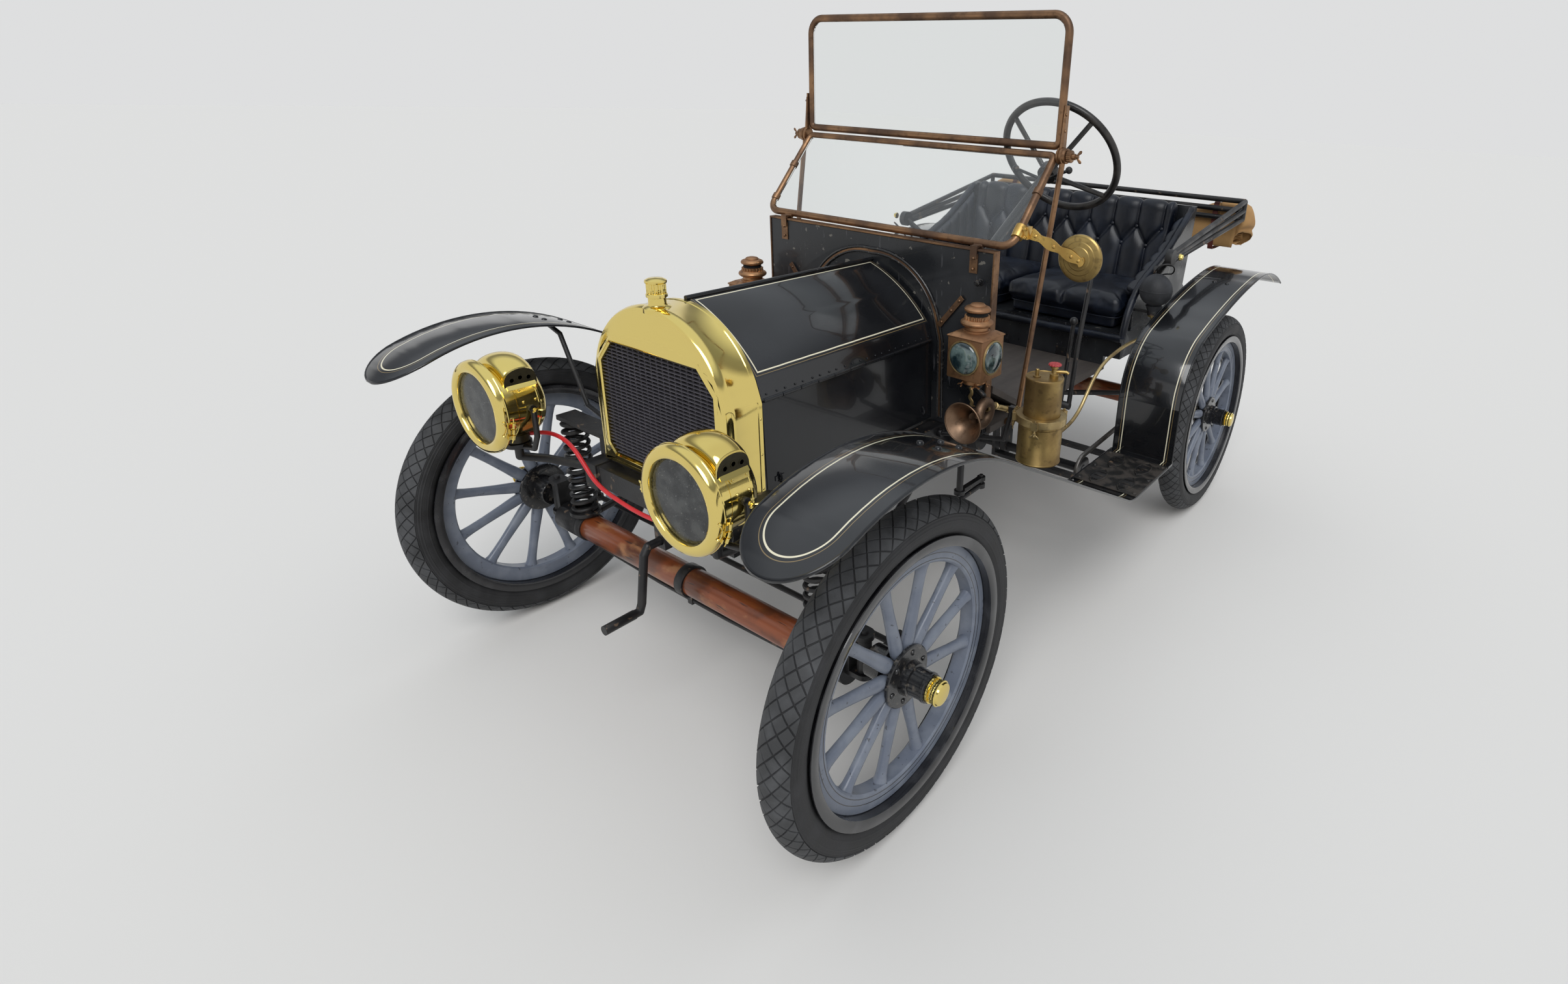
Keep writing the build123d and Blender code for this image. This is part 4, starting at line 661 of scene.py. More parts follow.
# %% The workshop
class Shape:
    """Points and faces of one piece. tone is the number of the finish that the next faces get."""

    def __init__(self):
        self.points, self.faces, self.tones = [], [], []
        self.tone = 0

    def put(self, points, faces, where=None):
        first = len(self.points)
        self.points += [where @ Vector(point) if where else Vector(point) for point in points]
        self.faces += [[first + index for index in face] for face in faces]
        self.tones += [self.tone] * len(faces)

    def loft(self, rows, where=None, closed=True, ends=True, loop=False):
        """Faces from row to row. closed joins a row's own ends; loop joins the last row to the first."""
        count = len(rows[0])
        faces = []
        for row in range(len(rows) if loop else len(rows) - 1):
            here, there = row * count, (row + 1) % len(rows) * count
            for index in range(count if closed else count - 1):
                following = (index + 1) % count
                faces.append((here + index, here + following, there + following, there + index))
        if ends and not loop:
            last = (len(rows) - 1) * count
            faces += [tuple(range(count)), tuple(last + index for index in range(count))]
        self.put([point for row in rows for point in row], faces, where)

    def turned(self, profile, where=None, steps=48, loop=False, flutes=0, depth=0.0):
        """Lathe work: (radius, height) points turned about Z. Flutes are knurling round the outside."""
        cuts = [depth if flutes and step * flutes // (steps // 2) % 2 else 0 for step in range(steps)]
        self.loft([[around(angle, radius - cut, height) for angle, cut in zip(turns(steps), cuts)]
                   for radius, height in profile], where, ends=not loop, loop=loop)

    def tube(self, line, radius, sides=12, loop=False, flat=1.0, up=to_top):
        """A bar along a line. radius is one number or one for each point; flat squeezes it along up."""
        line = [Vector(point) for point in line]
        count = len(line)
        rows = []
        lift = Vector(up)
        for index, point in enumerate(line):
            before = line[index - 1] if index or loop else point
            after = line[(index + 1) % count] if index < count - 1 or loop else point
            along = (after - before).normalized()
            lift = lift - along * lift.dot(along)
            if lift.length < 1e-4:
                lift = Vector((1, 0, 0)) - along * along.x
            lift.normalize()
            side = along.cross(lift)
            size = radius[index] if isinstance(radius, list) else radius
            rows.append([point + size * (cos(angle) * side + flat * sin(angle) * lift)
                         for angle in turns(sides)])
        self.loft(rows, loop=loop)

    def plate(self, outline, thickness, where=None):
        """A flat plate cut to an outline of (x, y) points, with its thickness along Z."""
        self.loft([[(x, y, 0) for x, y in outline], [(x, y, thickness) for x, y in outline]], where)

    def block(self, size, where):
        """A block that stands on its place."""
        self.plate(rectangle(size[0] / 2, size[1] / 2), size[2], where)

    def bolt(self, where, radius=0.006, height=0.005, nut=False):
        """A domed rivet head, or a six-sided nut with a stub of thread."""
        def scaled(*shares):
            return [(max(radius * wide, 0.0001), height * tall) for wide, tall in shares]

        if nut:
            self.turned(scaled((1, 0), (1, 0.85), (0.85, 1)), where, 6)
            self.turned(scaled((0.5, 1), (0.5, 1.6), (0.4, 1.7)), where, 10)
        else:
            self.turned(scaled((1, 0), (0.93, 0.4), (0.7, 0.8), (0.3, 1), (0, 1.02)), where, 12)

    def wing_screw(self, where, size=0.014):
        """A thumb screw: a stub, a collar and two ears."""
        stub = ((0.45, 0), (0.45, 0.3), (0.28, 0.4), (0.28, 1))
        ear = ((0.1, 0.6, 0.22), (0.55, 0.95, 0.26), (0.95, 1.35, 0.34), (1.15, 1.6, 0.16))
        self.turned([(size * wide, size * tall) for wide, tall in stub], where, 12)
        for side in (-1, 1):
            self.tube([where @ Vector((side * size * out, 0, size * rise)) for out, rise, thick in ear],
                      [size * thick for out, rise, thick in ear], 8, flat=0.45,
                      up=where.to_3x3() @ Vector((0, 1, 0)))


sample = Shape()
sample.bolt(Matrix())
print("a rivet head has", len(sample.faces), "faces")

# %% [markdown]
# Bent sheet and rod follow smooth lines through a few measured places, or arcs of a circle that run on from
# a straight piece.

# %% Curves
def smooth_line(points, steps=6, loop=False):
    """A smooth line through a few points."""
    points = [Vector(point) for point in points]
    count = len(points)
    line = []
    for index in range(count if loop else count - 1):
        if loop:
            a, b, c, d = (points[(index + shift) % count] for shift in (-1, 0, 1, 2))
        else:
            a, b = points[max(index - 1, 0)], points[index]
            c, d = points[index + 1], points[min(index + 2, count - 1)]
        for step in range(steps):
            t = step / steps
            line.append(0.5 * (2 * b + (c - a) * t + (2 * a - 5 * b + 4 * c - d) * t ** 2
                               + (3 * b - 3 * c + d - a) * t ** 3))
    return line if loop else line + [points[-1]]


def swung(pair, angle):
    """A flat direction, turned by an angle."""
    return Vector((pair.x * cos(angle) - pair.y * sin(angle),
                   pair.x * sin(angle) + pair.y * cos(angle)))


def arc_from(start, tangent, end, steps=16):
    """The arc that leaves start along tangent and reaches end, and its direction there, all flat pairs."""
    start, tangent, chord = Vector(start), Vector(tangent).normalized(), Vector(end) - Vector(start)
    normal = Vector((-tangent.y, tangent.x))
    radius = chord.length_squared / (2 * normal.dot(chord))
    centre = start + normal * radius
    turn = 2 * atan2(abs(normal.dot(chord)), tangent.dot(chord)) * copysign(1, radius)
    points = [centre + swung(start - centre, turn * step / steps) for step in range(steps + 1)]
    return points, swung(tangent, turn)


def inset(outline, depth):
    """A closed outline of (x, y) points, moved inwards."""
    moved = []
    corners = [Vector(corner) for corner in outline]
    following = corners[1:] + corners[:1]
    area = sum(here.x * after.y - after.x * here.y for here, after in zip(corners, following))
    for before, here, after in zip(corners[-1:] + corners[:-1], corners, following):
        first, second = (here - before).normalized(), (after - here).normalized()
        along = first + second
        normal = Vector((-along.y, along.x)).normalized() * copysign(1, area)
        stretch = max(0.4, normal.dot(Vector((-first.y, first.x)) * copysign(1, area)))
        moved.append(tuple(here + normal * depth / stretch))
    return moved


print("a smooth line through three places has", len(smooth_line(mm("0 0 0, 10 0 0, 10 10 0"))), "points")

# %% [markdown]
# A shape becomes a piece when its points are joined, its faces are smoothed up to a crease, and it gets its
# finishes and its body. Where it stands for CAD nodes, those are hidden.

# %% From a shape to a piece
def piece(name, shape, finishes, body="car", edge=0.0, crease=38, stands_for=()):
    """Make the mesh of a shape, smooth it, give it its finishes and put it on its body."""
    work = bmesh.new()
    corners = [work.verts.new(point) for point in shape.points]
    for face, tone in zip(shape.faces, shape.tones):
        work.faces.new([corners[index] for index in face]).material_index = tone
    bmesh.ops.remove_doubles(work, verts=work.verts, dist=2e-5)
    bmesh.ops.dissolve_degenerate(work, edges=work.edges, dist=1e-5)
    bmesh.ops.recalc_face_normals(work, faces=work.faces)
    mesh = bpy.data.meshes.new(name)
    work.to_mesh(mesh)
    work.free()
    mesh.shade_smooth()
    mesh.set_sharp_from_angle(angle=radians(crease))
    for finish in finishes:
        mesh.materials.append(finish.material)
    made = link(name, mesh)
    if edge:
        ease_edges(made, edge, crease)
    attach(made, body)
    if stands_for:
        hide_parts(*stands_for)
    print(name, "has", len(mesh.polygons), "faces")
    return made


# %% [markdown]
# ## Tyres
#
# The tyres are fat clinchers with a moulded diamond tread that runs from shoulder to shoulder. A pattern in a
# bump map would vanish at the tyre's outline, where the photograph shows it best, so the diamonds are real
# pads. Each is bent over the tyre's round section, and the pads at the shoulders are cut off straight.

# %% Tyre sizes
wheel_radius = 0.406
section_centre = 0.358
tread_radius = 0.048
carcass_radius = 0.0452
shoulder = radians(62)
diamonds_round = 62
diamond_rows = 6
pad_share = 0.86  # the part of its cell that a diamond fills, the rest is groove


def tyre_point(angle, across, radius):
    """A point of the tyre: angle round the wheel, angle across its section, distance from the section's
    middle."""
    return around(angle, section_centre + radius * cos(across), radius * sin(across))


def diamond_pad(shape, angle, across, where):
    """One raised diamond, three by three faces on top and a sloping side all round."""
    half_angle = pi / diamonds_round * pad_share
    half_across = shoulder / diamond_rows * 2 * pad_share
    points = []
    for grow, radius in ((1.12, carcass_radius - 0.001), (1.0, tread_radius)):
        for row in range(4):
            for column in range(4):
                u, v = row / 3 - 0.5, column / 3 - 0.5
                spread = max(-shoulder, min(shoulder, across + (u + v) * half_across * grow))
                points.append(tyre_point(angle + (u - v) * half_angle * grow, spread, radius))
    top = 16
    faces = [(top + 4 * r + c, top + 4 * r + c + 1, top + 4 * r + c + 5, top + 4 * r + c + 4)
             for r in range(3) for c in range(3)]
    rim = [0, 1, 2, 3, 7, 11, 15, 14, 13, 12, 8, 4]
    faces += [(rim[i], rim[(i + 1) % 12], top + rim[(i + 1) % 12], top + rim[i]) for i in range(12)]
    shape.put(points, faces, where)


# %% Tyre
def make_tyre(corner, side, y):
    where = outward(side, half_track, y, wheel_radius)
    tyre = Shape()
    profile = []
    for step in range(-70, 71):
        ridge = 0.0008 if abs(step) in (36, 37, 41, 52, 53) else 0.0015 if abs(step) in (32, 33) else 0
        section = tyre_point(0, radians(2 * step), carcass_radius + ridge)
        profile.append((section.x, section.z))
    tyre.tone = 1
    tyre.turned(profile + mm("318.8 26, 318.8 -26"), where, 120, loop=True)
    tyre.tone = 0
    for row in range(-3, 4):
        for angle in turns(diamonds_round, row % 2 / 2):
            diamond_pad(tyre, angle, row * shoulder / 3, where)
    piece(corner + "_tyre_tread", tyre, [tread_rubber, wall_rubber], corner + "_road_wheel", crease=50,
          stands_for=[corner + "_tyre"])


for corner, side, y in road_wheels:
    make_tyre(corner, side, y)

# %% [markdown]
# ## Wheels
#
# A wooden artillery wheel: twelve oval spokes, widest where they enter the rim's felloe and pressed together
# at the hub between two black iron flanges. Each part is turned or lofted on its own, because real spokes
# have soft shoulders that a cut from one block doesn't show. The rear hubs reach further in, and carry the
# sprockets of the drive chains.

# %% Wheel parts
# Distance from the hub's middle, half width round the wheel, half thickness across it.
spoke_profile = mm("40 10.5 12.5, 72 17.5 13, 95 17.2 13.3, 135 15 12.4, 190 13.4 11.5, 230 13.8 12, "
                   "250 15.2 13.2, 262.5 19 16.5")


def add_spokes(shape, where):
    for angle in turns(12, 0.5):
        out, round_way = around(angle), around(angle + pi / 2)
        shape.loft([[out * distance + round_way * wide * cos(turn) + Vector((0, 0, thick * sin(turn)))
                     for turn in turns(16)]
                    for distance, wide, thick in spoke_profile], where)


def add_sprocket(shape, where, teeth=30):
    root, tip = 0.117, 0.1245
    tooth = ((0.0, root), (0.3, root), (0.42, tip), (0.6, tip), (0.72, root))
    outline = [tuple(around(angle + shift * tau / teeth, radius).xy) for angle in turns(teeth)
               for shift, radius in tooth]
    shape.plate(outline, 0.0085, where @ Matrix.Translation((0, 0, -0.1313)))
    for angle in turns(6):
        shape.bolt(where @ Matrix.Translation(around(angle, 0.07, -0.1228)), 0.008, 0.006, nut=True)


# %% Whole wheels
felloe = mm("261 -16, 261.5 17, 265.5 20.8, 303 20.8, 305 19, 305 -19, 303 -20.8, 265.5 -20.8")
rim = mm("305.2 -42, 305.2 42, 309 44.2, 322 45.2, 329.6 44.8, 330.4 42.5, 328 41, 320 40.5, 318.2 38, "
         "318.2 -38, 320 -40.5, 328 -41, 330.4 -42.5, 329.6 -44.8, 322 -45.2, 309 -44.2")
hub_outside = mm("70 -20.5, 73 -18.5, 73 -12.5, 60 -11.5, 60 11.5, 73 12.5, 73 18.5, 70.5 20.6, "
                 "50 20.6, 40.5 22.5, 38.5 32, 38.5 40.5, 33.5 42, 32.5 72, 34.5 73.5, 34.5 79, "
                 "32.5 81, 32.5 84.5, 0.1 84.5")
cap = mm("0.1 84, 28.5 84.6, 30 86, 30 90.5, 26.2 92, 26.2 101.5, 29 103, 29 107.5, 26.2 109, 25 113.2, "
         "19 114.8, 0.1 115")


def make_wheel(corner, side, y):
    where = outward(side, half_track, y, wheel_radius)
    rear = corner.startswith("rear")
    reach = 0.132 if rear else 0.078
    wheel = Shape()
    add_spokes(wheel, where)
    wheel.turned(felloe, where, 96, loop=True)
    wheel.tone = 1
    wheel.turned(rim, where, 96, loop=True)
    for inner in (0.2835, 0.2700):
        stripe = [(inner, 0.0206), (inner, 0.0212), (inner + 0.0016, 0.0212), (inner + 0.0016, 0.0206)]
        wheel.turned(stripe, where, 96, loop=True)
    wheel.tone = 2
    barrel = [(0.0001, -reach), (0.037, -reach), (0.039, -reach + 0.002), (0.039, -0.0215)]
    wheel.turned(barrel + hub_outside, where, 48)
    for angle in turns(6, 0.25):
        wheel.bolt(where @ Matrix.Translation(around(angle, 0.0575, 0.0206)), 0.0068, 0.0045)
    if rear:
        add_sprocket(wheel, where)
    wheel.tone = 3
    wheel.turned(cap[:4], where, 72)
    wheel.turned(mm("26.2 90.5, 27.2 92, 27.2 101.5, 26.2 103"), where, 72, flutes=18, depth=0.0012)
    wheel.turned([(0.0001, 0.1020)] + cap[6:], where, 72)
    piece(corner + "_wheel_painted", wheel, [spoke_paint, rim_gloss, hub_black, bright_brass],
          corner + "_road_wheel", crease=35, stands_for=[corner + "_wheel"])


for corner, side, y in road_wheels:
    make_wheel(corner, side, y)

# %% [markdown]
# ## Coil springs
#
# Four open coils carry the car. The CAD gives each one's outline as a solid sleeve; here each is a real helix
# of round bar, with its first and last turns lying flat on the seats.

# %% Springs
spring_x, spring_top = 0.470, 0.6897
coil_turns, steps_a_turn = 12.5, 18


def add_spring(shape, side, y, foot):
    line = []
    for step in range(int(coil_turns * steps_a_turn) + 1):
        turn = step / steps_a_turn
        climb = clamp((turn - 0.75) / (coil_turns - 1.5))
        height = foot + 0.006 + climb * (spring_top - foot - 0.012)
        line.append(at(side * spring_x, y, 0) + around(tau * turn, 0.032, height))
    shape.tube(line, 0.0062, 8)


springs = Shape()
for side in (-1, 1):
    add_spring(springs, side, 0.0, 0.4073)
    add_spring(springs, side, wheelbase, 0.4613)
piece("open_coil_springs", springs, [black_iron], stands_for=["coil_springs"])

# %% [markdown]
# ## Radiator
#
# The radiator's shell is one sheet of brass, raised over a form: a flat front with a soft edge, an arched
# crown and a rolled bead round the eight-sided opening. It is lofted through rings that follow the outline,
# so that the highlight runs round the edge without a break. The tank above the core stays plain.

# %% Outlines of the radiator
def arch(crown, shoulder_x, shoulder_z, sag, steps=14):
    """Half of the crown, from the middle to the shoulder, as an arc with a given rise over its chord."""
    start, end = Vector((0, crown)), Vector((shoulder_x, shoulder_z))
    chord = end - start
    normal = Vector((-chord.y, chord.x)).normalized()
    radius = (chord.length_squared / 4 + sag * sag) / (2 * sag)
    centre = (start + end) / 2 + normal * (sag - radius)
    turn = 2 * asin(chord.length / 2 / radius)
    return [tuple(centre + swung(start - centre, -turn * step / steps)) for step in range(steps + 1)]


def along(corners, steps):
    """Points along the straight lines between corners, without the first corner."""
    return [tuple(Vector(start).lerp(Vector(end), (step + 1) / count))
            for start, end, count in zip(corners, corners[1:], steps) for step in range(count)]


def mirrored_loop(half_points):
    """A closed loop from its right half, which runs from the middle of the top to the middle of the foot."""
    return half_points + [(-x, z) for x, z in reversed(half_points[1:-1])]


core_corners = mm("0 996, 160 996, 210 940, 210 716, 185 690, 0 690")
core_loop = mirrored_loop(core_corners[:1] + along(core_corners, (14, 5, 10, 4, 8)))
shell_corners = mm("232 960, 250 908, 250 690, 250 655, 0 655")
shell_loop = mirrored_loop(arch(1.110, *shell_corners[0], 0.042) + along(shell_corners, (5, 10, 4, 8)))
print("radiator loops", len(shell_loop), len(core_loop))

# %% Radiator shell
# Each ring of the sheet as its depth inside the outline and its place along the car, from the rear edge on.
outer_rings = mm("0 51.5, -1.2 50.5, -1.2 40, 0.5 38, 0.5 -26, -1 -29, -1 -40, 1.2 -47.5, 4.5 -52.2, "
                 "10 -54.5, 16 -55")
bead_rings = mm("-15 -55, -12.5 -56.5, -8 -58.8, -4 -58.8, 0 -55.5, 1 -30, 0 40")
shell = Shape()
shell.loft([[at(x, y, z) for x, z in inset(outline, depth)]
            for outline, rings in ((shell_loop, outer_rings), (core_loop, bead_rings))
            for depth, y in rings], loop=True)
filler = facing(at(0, -0.027, 1.096), to_top)
shell.turned(mm("34 0, 34 11, 30 14, 22.5 16, 20.5 20, 20.5 36"), filler)
shell.turned(mm("20 34, 24.5 36, 24.5 42, 22.5 44"), filler)
shell.turned(mm("21.5 43, 22.5 45, 22.5 66, 21.5 68"), filler, 96, flutes=24, depth=0.0012)
shell.turned(mm("20.5 67, 24.5 68, 25.5 71, 24.5 74.5, 17 78.5, 0.1 80"), filler)
for side in (-1, 1):
    for z in (0.69, 0.78, 0.87):
        shell.bolt(outward(side, 0.2508, 0.045, z), 0.003, 0.002)
piece("radiator_brasswork", shell, [bright_brass], crease=32, stands_for=["radiator_shell"])

# %% [markdown]
# The core is a stack of thin horizontal fins. From a few steps away they read as fine lines with a dark gap
# between, so each one is a real strip, cut to the width of the opening at its height. Upright tubes stand
# behind their front edges.

# %% Radiator fins
def core_width(z):
    """Half the width of the opening at a height, between its cut corners."""
    if z > 0.940:
        return 0.210 - (z - 0.940) / 0.056 * 0.050
    return 0.210 if z > 0.716 else 0.185 + (z - 0.690) / 0.026 * 0.025


# The dark gaps between the fins come from the near-black core behind them: painted shade.
fin_stack = Shape()
fin_count, lowest_fin, highest_fin = 33, 0.6935, 0.9935
fin_section = mm("-51.5 1, -52.5 0, -51.5 -1, -42.5 -0.6, -42.5 0.6")
for index in range(fin_count):
    z = lowest_fin + index * (highest_fin - lowest_fin) / (fin_count - 1)
    reach = core_width(z) - 0.0008
    fin_stack.loft([[at(x, y, z + rise + 0.0004 * sin(40 * x + index)) for y, rise in fin_section]
                    for x in (-reach, -reach / 2, 0, reach / 2, reach)])
for index in range(-9, 10):
    x = index * 0.022
    top = highest_fin - max(0, (abs(x) - 0.160) * 1.12)
    fin_stack.tube([at(x, -0.0445, lowest_fin), at(x, -0.0445, top)], 0.0022, 6)
piece("radiator_fin_stack", fin_stack, [fins], crease=60)

# %% [markdown]
# ## Hood hinges and catches
#
# A piano hinge joins the curved top of the hood to its side. Its knuckles are separate short tubes, held by
# small rivets. Two small catches with a wire handle hold each side panel.

# %% Hood hinge and side handles
for side, hand in hands:
    knuckles = Shape()
    for index in range(11):
        y = 0.064 + index * 0.061
        knuckles.tube([at(side * 0.2425, y, 0.909), at(side * 0.2425, y + 0.058, 0.909)], 0.0052, 12)
        for shift in (0.012, 0.046):
            knuckles.bolt(facing(at(side * 0.2402, y + shift, 0.9215), (side, 0, 0.3)), 0.0026, 0.0018)
    piece(f"hood_{hand}_knuckles", knuckles, [coach_black], f"hood_{hand}_top")
    catches = Shape()
    panel_x = 0.2494
    for y in (0.10, 0.69):
        catches.block((0.030, 0.012, 0.0016), outward(side, panel_x, y, 0.700))
        handle = ((0.003, 0.688), (0.007, 0.697), (0.003, 0.712))
        catches.tube([at(side * (panel_x + out), y, z) for out, z in handle], 0.003, 8)
        for z in (0.690, 0.710):
            catches.bolt(outward(side, panel_x + 0.0012, y, z), 0.003, 0.002)
    piece(f"hood_{hand}_catches", catches, [coach_black], f"hood_{hand}_side")

# %% [markdown]
# ## Fender edges, rivets and steps
#
# A sheet fender is stiffened by rolling its edge over a wire. The roll catches a fine highlight all round, so
# it is a thin tube that follows the sheet's edge. Domed rivets hold the brackets at the crests.

# %% The fenders' lines, seen from the side
slope = Vector((1, -0.529)).normalized()
crest_line, _ = arc_from((0.215, 0.872), -slope, (-0.395, 0.850), 24)
bend = (0.975, 0.872 - 0.529 * (0.975 - 0.215))
foot_line, _ = arc_from(bend, slope, (1.035, 0.455), 6)
front_line = list(reversed(crest_line)) + [Vector(bend)] + foot_line[1:] + [Vector((1.300, 0.455))]

rear_bend, bend_way = arc_from((1.341, 0.650), (0, 1), (1.496, 0.861), 10)
rear_back, back_way = arc_from((1.496, 0.861), bend_way, (2.060, 0.975), 16)
rear_tail, _ = arc_from((2.060, 0.975), back_way, (2.440, 0.900), 10)
rear_line = [Vector((1.341, 0.470))] + rear_bend + rear_back[1:] + rear_tail[1:]


def height_on(line, y):
    for first, second in zip(line, line[1:]):
        if first.x <= y <= second.x and second.x > first.x:
            return first.y + (second.y - first.y) * (y - first.x) / (second.x - first.x)
    return line[-1].y


print("crest height", round(height_on(front_line, 0.0), 3), "rear crest", round(height_on(rear_line, 2.0), 3))

# %% Rolled edges and rivets
roll_radius, tip_reach = 0.0034, 0.108
rivet = (0.0085, 0.005)
straight = [point for point in front_line if point.x > fender_tip_y]
for side, hand in hands:
    rolls = Shape()
    edge = [at(side * 0.8190, point.x, point.y) for point in reversed(straight)]
    for angle in (pi * step / 24 for step in range(1, 24)):
        y = fender_tip_y - tip_reach * sin(angle)
        edge.append(at(side * (half_track + tip_reach * cos(angle)), y, height_on(front_line, y)))
    edge += [at(side * 0.6030, point.x, point.y) for point in straight]
    rolls.tube(edge, roll_radius, 8)
    for x in (0.6090, 0.8190):
        rolls.tube([at(side * x, point.x, point.y) for point in rear_line], roll_radius, 8)
    for line, x, y, lean in ((front_line, 0.688, 0.075, 0.2), (front_line, 0.734, 0.075, 0.2),
                             (front_line, 0.688, 0.150, 0.2), (front_line, 0.734, 0.150, 0.2),
                             (rear_line, 0.690, 1.940, -0.1), (rear_line, 0.738, 1.940, -0.1)):
        rolls.bolt(facing(at(side * x, y, height_on(line, y) + 0.0018), (0, lean, 1)), *rivet)
    piece(f"fender_rolls_{hand}", rolls, [coach_black], crease=45)

# %% [markdown]
# The steps carry cast treads: pointed ovals with a raised rim and three bars, which keep a wet boot from
# slipping. They are screwed down in two pairs on each side.

# %% Step treads
def lens(length, width, steps=14):
    """The outline of a pointed oval."""
    rise = [(length * (step / steps - 0.5), width / 2 * sin(pi * step / steps) ** 0.8)
            for step in range(steps + 1)]
    return rise + [(x, -y) for x, y in reversed(rise[1:-1])]


step_top = 0.4612
tread_outline = lens(0.118, 0.052)
for side, hand in hands:
    treads = Shape()
    for x, y in mm("668 1095, 762 1095, 668 1235, 762 1235"):
        place = Matrix.Translation(at(side * x, y, step_top)) @ Matrix.Rotation(pi / 2, 4, "Z")
        treads.tone = 1
        treads.plate(inset(tread_outline, 0.004), 0.0006, place)
        treads.tone = 0
        treads.loft([[(px, py, height) for px, py in inset(tread_outline, depth)]
                     for depth, height in mm("0 0, 1 3.2, 4 3.2, 5 0")], place, loop=True)
        for bar in (-0.03, 0.0, 0.03):
            treads.block((0.006, 0.030, 0.0028), place @ Matrix.Translation((bar, 0, 0)))
    for y in (1.050, 1.165, 1.290):
        for x in (0.622, 0.808):
            treads.bolt(facing(at(side * x, y, step_top - 0.0002), to_top), 0.007, 0.0035)
    piece(f"step_treads_{hand}", treads, [step_iron, black_iron], edge=0.0004)

# %% [markdown]
# ## Headlamps
#
# Two identical acetylene lamps. Each has a wide rounded door ring, a drum with a rolled bead, and a raised
# saddle over the drum that lets the hot air out through three holes at each end. The saddle is an arch
# whose section is half an oval, swept round the lamp's own axis, which is how the tinsmith raised it.

# %% Lamp drum and door ring
drum_profile = mm("98 -25.8, 100.5 -26.5, 101.5 -28.5, 100.5 -30.5, 95 -31.5, 92.5 -34, 92.5 -60, "
                  "93.4 -60.8, 93.4 -62.5, 92.5 -63.3, 92.5 -112, 94 -113.5, 94 -116.5, 92 -118.5, "
                  "88.5 -127, 80 -137, 65 -144.5, 42 -148.5, 20 -149.8, 0.1 -150, 0.1 -147, 60 -142.5, "
                  "86 -124, 89.5 -115, 89.5 -30")
ring_profile = mm("90 -23, 89.3 -13, 89.5 -6.5, 91.5 -3, 95.5 -0.8, 101 -0.2, 107 -1.6, 112.5 -4.8, "
                  "116.2 -9.5, 117.8 -15, 117.6 -20, 118.6 -21.5, 118.2 -24.5, 115 -25.6, 98 -25.6")
reflector_profile = mm("88.5 -31, 76 -72, 52 -104, 25 -119, 0.1 -123, 0.1 -124.5, 26 -120.5, "
                       "53.5 -105.5, 77.5 -73, 89.3 -31.5")


def add_drum(shape, where):
    shape.turned(drum_profile, where, 72, loop=True)
    shape.turned(ring_profile, where, 96, loop=True)
    shape.turned(reflector_profile, where, 48, loop=True)


# %% Saddle
saddle_middle, saddle_half, saddle_rise = -0.086, 0.043, 0.032
saddle_reach = 0.072


def round_lamp(angle, radius, depth):
    """A place on the lamp: angle from straight up, towards the car's left, distance from its axis, depth."""
    return around(pi / 2 - angle, radius, depth)


def saddle_section(share, shrink=1.0, steps=14):
    """The arch at share of its length. Its two ends, at -1 and 1, are flat and upright."""
    row = []
    for step in range(steps + 1):
        turn = pi * step / steps
        radius = 0.0905 + saddle_rise * sin(turn) ** 0.7 * shrink
        row.append(round_lamp(share * asin(saddle_reach / radius), radius,
                              saddle_middle + saddle_half * shrink * cos(turn)))
    return row


def add_saddle(shape, where):
    """The arch, and at each end a closing wall with three holes, each closed by a near-black disc of painted
    shade, and a riveted foot.
    """
    shares = [step / 12 - 1 for step in range(25)]
    shape.loft([saddle_section(share, 1.0 - 0.04 * abs(share) ** 8) for share in shares], where, ends=False)
    end = asin(saddle_reach / 0.0925)
    for side in (-1, 1):
        shape.tone = 1
        shape.loft([saddle_section(side, 0.96), saddle_section(side * 0.985, 0.96)], where)
        for shift in (-0.021, 0.0, 0.021):
            hole = (side * saddle_reach, 0.0760 - abs(shift) * 0.15, saddle_middle + shift)
            spot = where @ facing(hole, (side, 0, 0))
            shape.tone = 1
            shape.turned(mm("5.2 -1, 5.2 1.4, 7 1.4, 7 -1"), spot, 24, loop=True)
            # Each hole is closed by a near-black disc: painted shade inside the hole.
            shape.tone = 2
            shape.turned(mm("5.2 0.4, 0.1 0.4"), spot, 24)
        shape.tone = 0
        foot = ((-0.02, -0.050, -0.122), (0.09, -0.050, -0.122), (0.11, -0.066, -0.118),
                (0.21, -0.069, -0.115))
        shape.loft([[round_lamp(side * (end + turn), radius, depth)
                     for radius, depth in ((0.0922, low), (0.0945, low), (0.0945, high), (0.0922, high))]
                    for turn, low, high in foot], where)
        for depth in (-0.074, -0.110):
            rivet_turn = side * (end + 0.15)
            shape.bolt(where @ facing(round_lamp(rivet_turn, 0.0942, depth), round_lamp(rivet_turn, 1, 0)),
                       0.0034, 0.0024)


